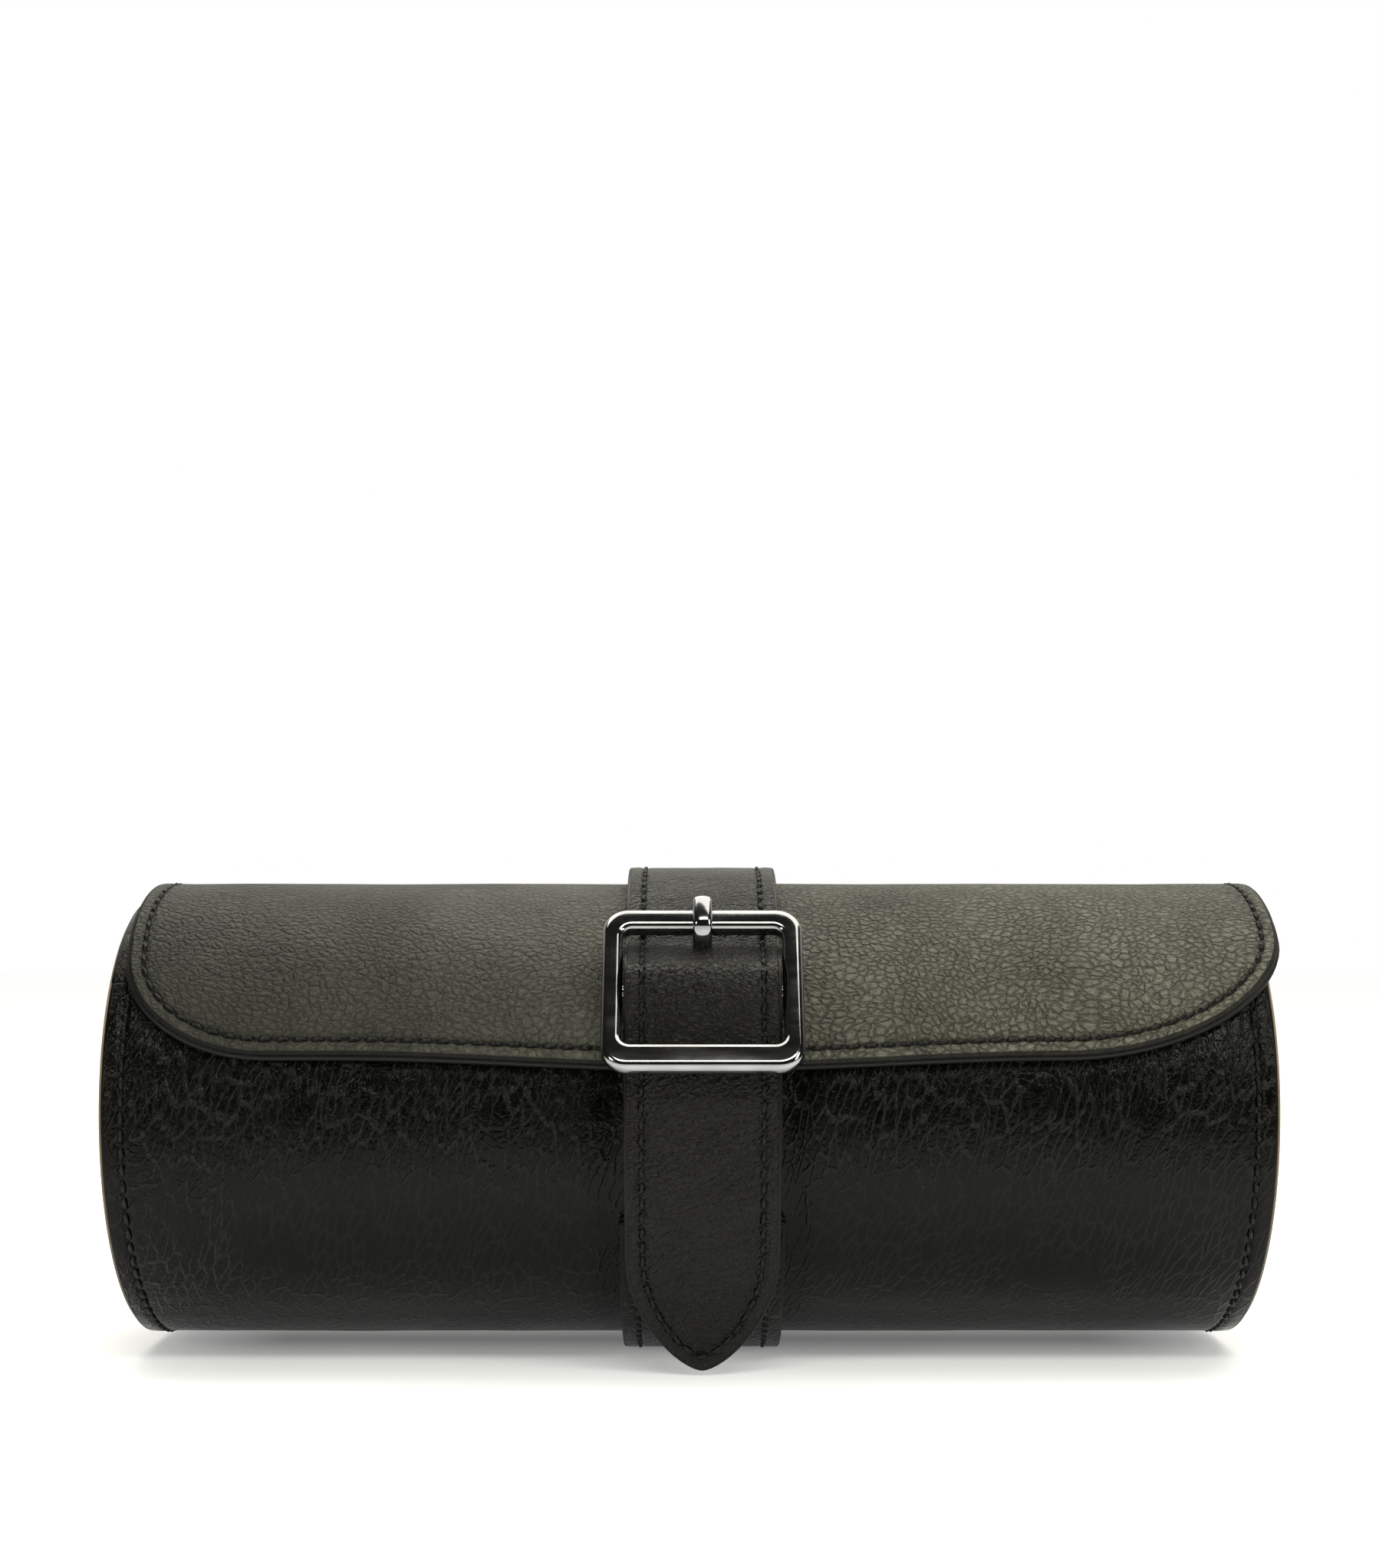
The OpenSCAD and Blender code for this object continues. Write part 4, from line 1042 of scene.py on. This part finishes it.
def strap_piece(name, margins, top, thickness, rounding, *about, **form):
    bm = ringed(strap_outline, margins, (1.8, 1.1))
    rows = [EDGE_ROW + d for d in (-0.7, -0.35, -0.15, 0, 0.15, 0.35, 0.7)]
    cut_lines(bm, 1, [0.4, 0.9, 1.7] + rows)
    set_edge(bm, lambda co, old: min(old, co.y))
    place = along_line(*strap_line, SHIFT, top)
    blend_strap(make_sheet(name, bm, thickness, rounding, place, *about, **form))


strap_piece("strap_leather", (0, 0.4, 0.9, 1.7, 2.3, 2.65, 2.85, 3.0, 3.15, 3.35, 3.7, 4.4, 5.6),
            STRAP_T / 2, STRAP_LEATHER_T, 0.42, STRAP_BLACK, None, ["strap_leather", "strap_anchor"],
            "strap_leather", height=strap_height)
strap_piece("strap_lining", (0.15, 0.6, 1.6, 5.0), STRAP_T / 2 - STRAP_LEATHER_T,
            STRAP_T - STRAP_LEATHER_T, 0.3, STRAP_LINING, None, ["strap_lining"],
            "strap_lining_leather")
rows = [[p for p in strap_outline(EDGE_ROW) if p[1] >= EDGE_ROW],
        [(-STRAP_HALF + 4, EDGE_ROW), (STRAP_HALF - 4, EDGE_ROW)]]
blend_strap(sew("strap_stitches", rows, along_line(*strap_line, SHIFT, STRAP_T / 2), None,
                ["strap_seam", "anchor_seam"], **STRAP_THREAD))

# %% [markdown]
# A second strap is sewn under the barrel. The table has pressed it flat where the roll stands on it.
# Its free upper end, the chape, is thinner. It rises over the flap's edge, turns round the buckle's
# centre bar and is sewn down on itself, with a slot that leaves room for the prong.

# %% Under strap
UNDER_HALF, UNDER_LEATHER_T, UNDER_BACKING_T = 14.2, 1.6, 1.3
under_low, under_high = arc(UNDER_R, -164), arc(UNDER_R, -20.2)


def pressed(x, y, z):
    """Round the barrel, but nothing goes below the table."""
    x, y, z = round_roll(UNDER_R)(x, y, z)
    return x, y, max(z, 0.0)


def under_side(co):
    return UNDER_HALF - abs(co.x - SHIFT)


def under_height(x, y, edge):
    rise, groove = groove_shape(UNDER_HALF - abs(x - SHIFT) - EDGE_ROW, 0.22, 0.38)
    return rise + 0.04 * swell(x, y, 7, 15.0), groove, 0.8


corners = (SHIFT - UNDER_HALF, under_low), (SHIFT + UNDER_HALF, under_high)
bm = rectangle(*corners, (2.0, 1.5))
cut_lines(bm, 0, [SHIFT + s * (UNDER_HALF - EDGE_ROW + d) for s in (-1, 1)
                  for d in (-0.8, -0.35, -0.15, 0, 0.15, 0.35, 0.8, 2.2)])
set_edge(bm, lambda co, old: min(under_side(co), under_high - co.y, co.y - under_low))
make_sheet("under_strap", bm, UNDER_LEATHER_T, 0.42, pressed, BLACK, "barrel", ["under_strap"],
           "black_leather", height=under_height)
bm = rectangle(*corners, (3.0, 1.5))
set_edge(bm, lambda co, old: under_side(co))
make_sheet("under_strap_backing", bm, UNDER_BACKING_T, 0.3, round_roll(UNDER_R), STRAP_LINING,
           "barrel", ["under_strap_backing"], "strap_lining_leather", drop=UNDER_LEATHER_T)
rows = [[(SHIFT + s * (UNDER_HALF - EDGE_ROW), y)
         for y in np.linspace(under_low + 1.5, under_high - 1.5, 60)] for s in (-1, 1)]
sew("under_strap_stitches", rows, pressed, "barrel", ["under_strap_seam"], **STRAP_THREAD)

# %% The chape's line
CHAPE_HALF, CHAPE_T, SLOT_HALF = 12.5, 1.2, 2.5
RISE_FROM, RISE_TO = -5.0, 18 - degrees(DIP / FLAP_R) - 0.3
CHAPE_R = FLAP_R + GAP
bar_place = on_buckle(BAR_UP, BAR_N)


def chape_radius(angle):
    """It rises from the under strap to the flap's edge."""
    share = min(1, max(0, (angle - RISE_FROM) / (RISE_TO - RISE_FROM))) ** 1.5
    return UNDER_R + (CHAPE_R + CHAPE_T - UNDER_R) * share


outer = [polar(chape_radius(a), a) for a in
         [*np.linspace(-19.8, RISE_TO, 12), *np.linspace(RISE_TO, BUCKLE_AT, 6)[1:]]]
loop = [(bar_place[0] - 1.3 * cos(a), bar_place[1] + 1.3 * sin(a))
        for a in np.radians(BUCKLE_AT + 180 + np.linspace(0, 180, 9)[1:])]
back = [polar(CHAPE_R + h, BUCKLE_AT - d)
        for d, h in ((1.6, 3.7), (3.4, 3.0), (5.4, 1.9), (7.5, 1.45), (9.6, 1.28))]
chape_line = smooth_line(outer + loop + back, 12)
CHAPE_LEN = float(chape_line[0][-1])
outer_len = float(smooth_line(outer, 12)[0][-1])
print(f"chape: {CHAPE_LEN:.1f} mm, its loop starts at {outer_len:.1f} mm")

# %% [markdown]
# ## The buckle
#
# The buckle is a dark polished rectangular frame with soft bevels, which draw the fine white lines
# of light along its bars. Two loops of rounded corners are bridged to a flat ring, which is made
# thick and then bevelled. The prong is cut and bent like a strap, but in metal. The chape follows
# once the bar's parts are in place.

# %% Frame
def on_plane(x, up, out):
    """A place function for flat pieces that are drawn in the buckle's plane."""
    return (x + SHIFT, *on_buckle(up, out))


def rounded_loop(bm, w, h, r):
    """A flat rectangle with rounded corners, as its closed loop of edges."""
    corners = ((-1, -1), (1, -1), (1, 1), (-1, 1))
    face = bm.faces.new([bm.verts.new((x * w / 2, y * h / 2, 0)) for x, y in corners])
    before = set(bm.faces) - {face}
    bevel(bm, face.verts[:], r, 8, "VERTICES", clamp=False)
    face = (set(bm.faces) - before).pop()
    edges = face.edges[:]
    bmesh.ops.delete(bm, geom=[face], context="FACES_ONLY")
    return edges


bm = new_sheet()
outer_edges = rounded_loop(bm, WINDOW_W + 2 * SIDE_BAR, WINDOW_H + 2 * CROSS_BAR, 4.4)
inner_edges = rounded_loop(bm, WINDOW_W, WINDOW_H, 1.5)
inner = {v for e in inner_edges for v in e.verts}
for v in bm.verts:
    v.co.y -= (1.0 if v in inner else 1.9) * smoothstep((-v.co.y - 2) / (half - 5))
bmesh.ops.bridge_loops(bm, edges=outer_edges + inner_edges)
thicken(bm, FRAME_T, 1.3, segments=7)
lift(bm, FRAME_T / 2)
LUG_UP = 4.8             # the lugs that hold the centre bar, up the frame
lug_low = BAR_N - 2.0
tall = -FRAME_T / 2 + 0.8 - lug_low
for s in (-1, 1):
    lug = (Matrix.Translation((s * (WINDOW_W + SIDE_BAR) / 2, 0, lug_low + tall / 2))
           @ Matrix.Diagonal((SIDE_BAR - 0.1, LUG_UP, tall, 1)))
    made = bmesh.ops.create_cube(bm, size=1, matrix=lug)
    bevel(bm, list({e for v in made["verts"] for e in v.link_edges}), 0.5)
bend(bm, on_plane)
make_piece("buckle_frame", bm, GUNMETAL, "buckle", ["buckle_frame"], "gunmetal", crisp=50)

# %% Prong
PRONG_HALF, PRONG_T, EYE_R, HOLE_R = 1.65, 2.0, 2.2, 1.15
FLAT = 0.42              # how little the rounded section leaves of a box's corners
top_n = FRAME_T / 2 + PRONG_T / 2
prong_line = smooth_line([on_buckle(up, out) for up, out in (
    (BAR_UP + EYE_R * 0.75, BAR_N + 0.15), (half * 0.4, BAR_N - 0.2), (half * 0.66, BAR_N - 0.1),
    (half - 2.3, -1.3), (half - 1.55, 0.8), (half - 0.35, top_n - 0.1), (half + 1.1, top_n + 0.35),
    (half + CROSS_BAR - 0.1, top_n + 0.25), (half + CROSS_BAR + 1.0, top_n - 0.2))], 16)
PRONG_LEN = float(prong_line[0][-1])
bm = rectangle((-PRONG_HALF, 0), (PRONG_HALF, PRONG_LEN), (0.42, 0.35))
thicken(bm, PRONG_T, 0.1, segments=1)
side_edges = [e for e in bm.edges if abs(e.verts[0].co.z - e.verts[1].co.z) > PRONG_T / 2]
bmesh.ops.subdivide_edges(bm, edges=side_edges, cuts=5, use_grid_fill=True)
for v in bm.verts:
    u, w = v.co.x / PRONG_HALF, v.co.z / (PRONG_T / 2) + 1
    end = sqrt(1 - (1 - min(1.0, (PRONG_LEN - v.co.y) / 0.8 + 0.25)) ** 2)
    v.co.x = PRONG_HALF * u * sqrt(1 - FLAT * w * w) * end
    v.co.z = PRONG_T / 2 * (w * sqrt(1 - FLAT * u * u) * end - 1)
bend(bm, along_line(prong_line[0], prong_line[1], -prong_line[2], SHIFT, PRONG_T / 2))
on_bar = Matrix.Translation(Vector((SHIFT, *bar_place)) * MM) @ Matrix.Rotation(pi / 2, 4, "Y")
made = bmesh.ops.create_cone(bm, cap_ends=True, segments=40, radius1=EYE_R * MM, radius2=EYE_R * MM,
                             depth=2 * PRONG_HALF * MM, matrix=on_bar)
caps = [f for f in {f for v in made["verts"] for f in v.link_faces} if len(f.verts) > 4]
rims = list({e for f in caps for e in f.edges})
bmesh.ops.inset_individual(bm, faces=caps, thickness=(EYE_R - HOLE_R) * MM, use_even_offset=True)
bmesh.ops.bridge_loops(bm, edges=[e for f in caps for e in f.edges])
bmesh.ops.delete(bm, geom=caps, context="FACES_ONLY")
bevel(bm, rims, 0.35 * MM)
face_outwards(bm)
make_piece("prong", bm, GUNMETAL, "prong", ["prong"], "gunmetal", crisp=50)

# %% Chape
slot_from, slot_to = outer_len - 7.5, min(outer_len + 13.5, CHAPE_LEN - 1)
bm = rectangle((-CHAPE_HALF, 0), (CHAPE_HALF, CHAPE_LEN), (2.4, 0.8))
cut_lines(bm, 0, (-SLOT_HALF, SLOT_HALF))
cut_lines(bm, 1, (slot_from, slot_to))
middles = {f: f.calc_center_median() for f in bm.faces}
bmesh.ops.delete(bm, context="FACES", geom=[
    f for f, at in middles.items() if abs(at.x) < SLOT_HALF and slot_from < at.y < slot_to])
set_edge(bm, lambda co, old: CHAPE_HALF - abs(co.x))
thicken(bm, CHAPE_T, 0.3)
chape_to = along_line(*chape_line, SHIFT, 0)


def chape_place(x, y, z):
    """Thick where it leaves the under strap, thin from where it lies on the flap."""
    return chape_to(x, y, z * (1 + 1.45 / CHAPE_T * (1 - smoothstep(y / 20))))


carry(bm, chape_place)
chape = make_piece("chape", bm, STRAP_LINING, None, ["chape"], "strap_leather")
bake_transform(chape, "barrel", "buckle", start=(0, -0.04, height_of(42.9, -20)), end=(0, -0.04, height_of(42.9, -3)))

# %% [markdown]
# ## Inside: dividers and cushions
#
# Two suede-covered boards part the three rooms. Each room holds a lift-out cushion, on which a watch
# is strapped. A cushion is foam in a sewn suede cover. Cloth simulation swells the cover from
# within, as the foam does, and most of the soft form comes from the rounded block that it starts as.

# %% Dividers
DIVIDER_X, DIVIDER_T, DIVIDER_TOP = 31.67, 2.4, 14.0
for s, hand in ((-1, "left"), (1, "right")):
    bm = new_sheet()
    bmesh.ops.create_circle(bm, cap_ends=True, radius=INNER_R, segments=120)
    bmesh.ops.bisect_plane(bm, geom=bm.verts[:] + bm.edges[:] + bm.faces[:],
                           plane_co=(0, DIVIDER_TOP, 0), plane_no=(0, 1, 0), clear_outer=True)
    ends = [v for v in bm.faces[:][0].verts if abs(v.co.y - DIVIDER_TOP) < 1e-3]
    bevel(bm, ends, 4, 5, "VERTICES")
    thicken(bm, DIVIDER_T, 0.9, segments=4)
    lift(bm, DIVIDER_T / 2)
    bmesh.ops.triangulate(bm, faces=[f for f in bm.faces if len(f.verts) > 4])
    bend(bm, end_place(1, s * DIVIDER_X))
    make_piece(f"divider_{hand}", bm, SUEDE, "barrel", [f"divider_{hand}", f"divider_board_{hand}"],
               "suede")

# %% Cushions
PITCH_X, CUSHION_Z = 63.333, 29.5
CUSHION = Vector((54.0, 51.0, 46.0))
SMALLER = 3.0            # what the block that swells lacks of the cushion's size
SEAM_AT = 23.5           # the cover's seams, from the cushion's middle
ROUND = 2.6              # power of the rounded section: 2 is an ellipse
VOXEL, FRAMES = 0.0035, 20
PRESSURE, CAP = 4, 0.0025


def evaluated(piece):
    return bpy.data.meshes.new_from_object(piece.evaluated_get(bpy.context.evaluated_depsgraph_get()))


def simulate_cushion(piece):
    """Swells a closed cover with cloth simulation, and keeps each point within CAP of its start."""
    remesh = piece.modifiers.new("remesh", "REMESH")
    remesh.mode, remesh.voxel_size = "VOXEL", VOXEL
    solid = evaluated(piece)
    piece.modifiers.clear()
    piece.data = solid
    start = np.array([v.co for v in solid.vertices])
    cloth = piece.modifiers.new("swell", "CLOTH").settings
    cloth.use_pressure, cloth.uniform_pressure_force = True, PRESSURE
    cloth.effector_weights.gravity = 0
    cloth.tension_stiffness = cloth.compression_stiffness = 25
    for number in range(1, FRAMES + 1):
        bpy.context.scene.frame_set(number)
    swollen = evaluated(piece)
    moved = np.array([v.co for v in swollen.vertices]) - start
    reach = np.linalg.norm(moved, axis=1)[:, None]
    kept = start + moved * np.minimum(1, CAP / np.maximum(reach, 1e-9))
    swollen.vertices.foreach_set("co", kept.astype(np.float32).ravel())
    piece.modifiers.clear()
    piece.data = swollen
    bpy.context.scene.frame_set(1)
    return float(reach.max())


def pillow_form(bm, size):
    """A rounded block with ends that draw in."""
    bmesh.ops.create_cube(bm, size=1)
    bmesh.ops.subdivide_edges(bm, edges=bm.edges[:], cuts=9, use_grid_fill=True)
    for v in bm.verts:
        x, y, z = 2 * v.co
        section = max(abs(y), abs(z)) / max(1e-9, (abs(y) ** ROUND + abs(z) ** ROUND) ** (1 / ROUND))
        section *= (1 - 0.16 * abs(x) ** 5) / 2
        v.co = (x * size[0] / 2 * (1 - 0.06 * (y * y + z * z) / 2), y * section * size[1],
                z * section * size[2])


for i in (1, 2, 3):
    bm = bmesh.new()
    pillow_form(bm, [c - SMALLER for c in CUSHION])
    centre = Vector(((i - 2) * PITCH_X, 0, CUSHION_Z))
    carry(bm, lambda x, y, z: centre + Vector((x, y, z)))
    cushion = make_piece(f"cushion_{i}", bm, SUEDE, None, (), "suede", crisp=60)
    far = simulate_cushion(cushion)
    print(f"cushion {i} swelled by up to {far * 1000:.1f} mm")
    low, high = (centre - CUSHION / 2) * MM, (centre + CUSHION / 2) * MM
    for v in cushion.data.vertices:
        v.co = [min(max(c, a), b) for c, a, b in zip(v.co, low, high)]
        pulled = 0.035 * exp(-((abs(v.co.x / MM - centre.x) - SEAM_AT) / 0.9) ** 2)
        v.co.y -= v.co.y * pulled
        v.co.z -= (v.co.z - centre.z * MM) * pulled
    cushion.data.shade_smooth()
    cushion.data.materials.clear()
    cushion.data.materials.append(SUEDE)
    soft = cushion.modifiers.new("soft", "SUBSURF")
    soft.levels = soft.render_levels = 1
    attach(cushion, f"cushion_{i}")
    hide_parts(f"cushion_cover_{i}", f"cushion_core_{i}")

# %% [markdown]
# ## The CAD pieces that stay
#
# The boards and the centre bar already have their right shape, so they keep it and only get a
# finish.

# %% Finishes on the CAD pieces
finishes = dict.fromkeys(("wrap_board", "end_board_left", "end_board_right", "flap_board"), BOARD)
for name, material in {**finishes, "centre_bar": GUNMETAL}.items():
    for place_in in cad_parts[name].material_slots:
        place_in.material = material
    print(name, "gets", material.name)
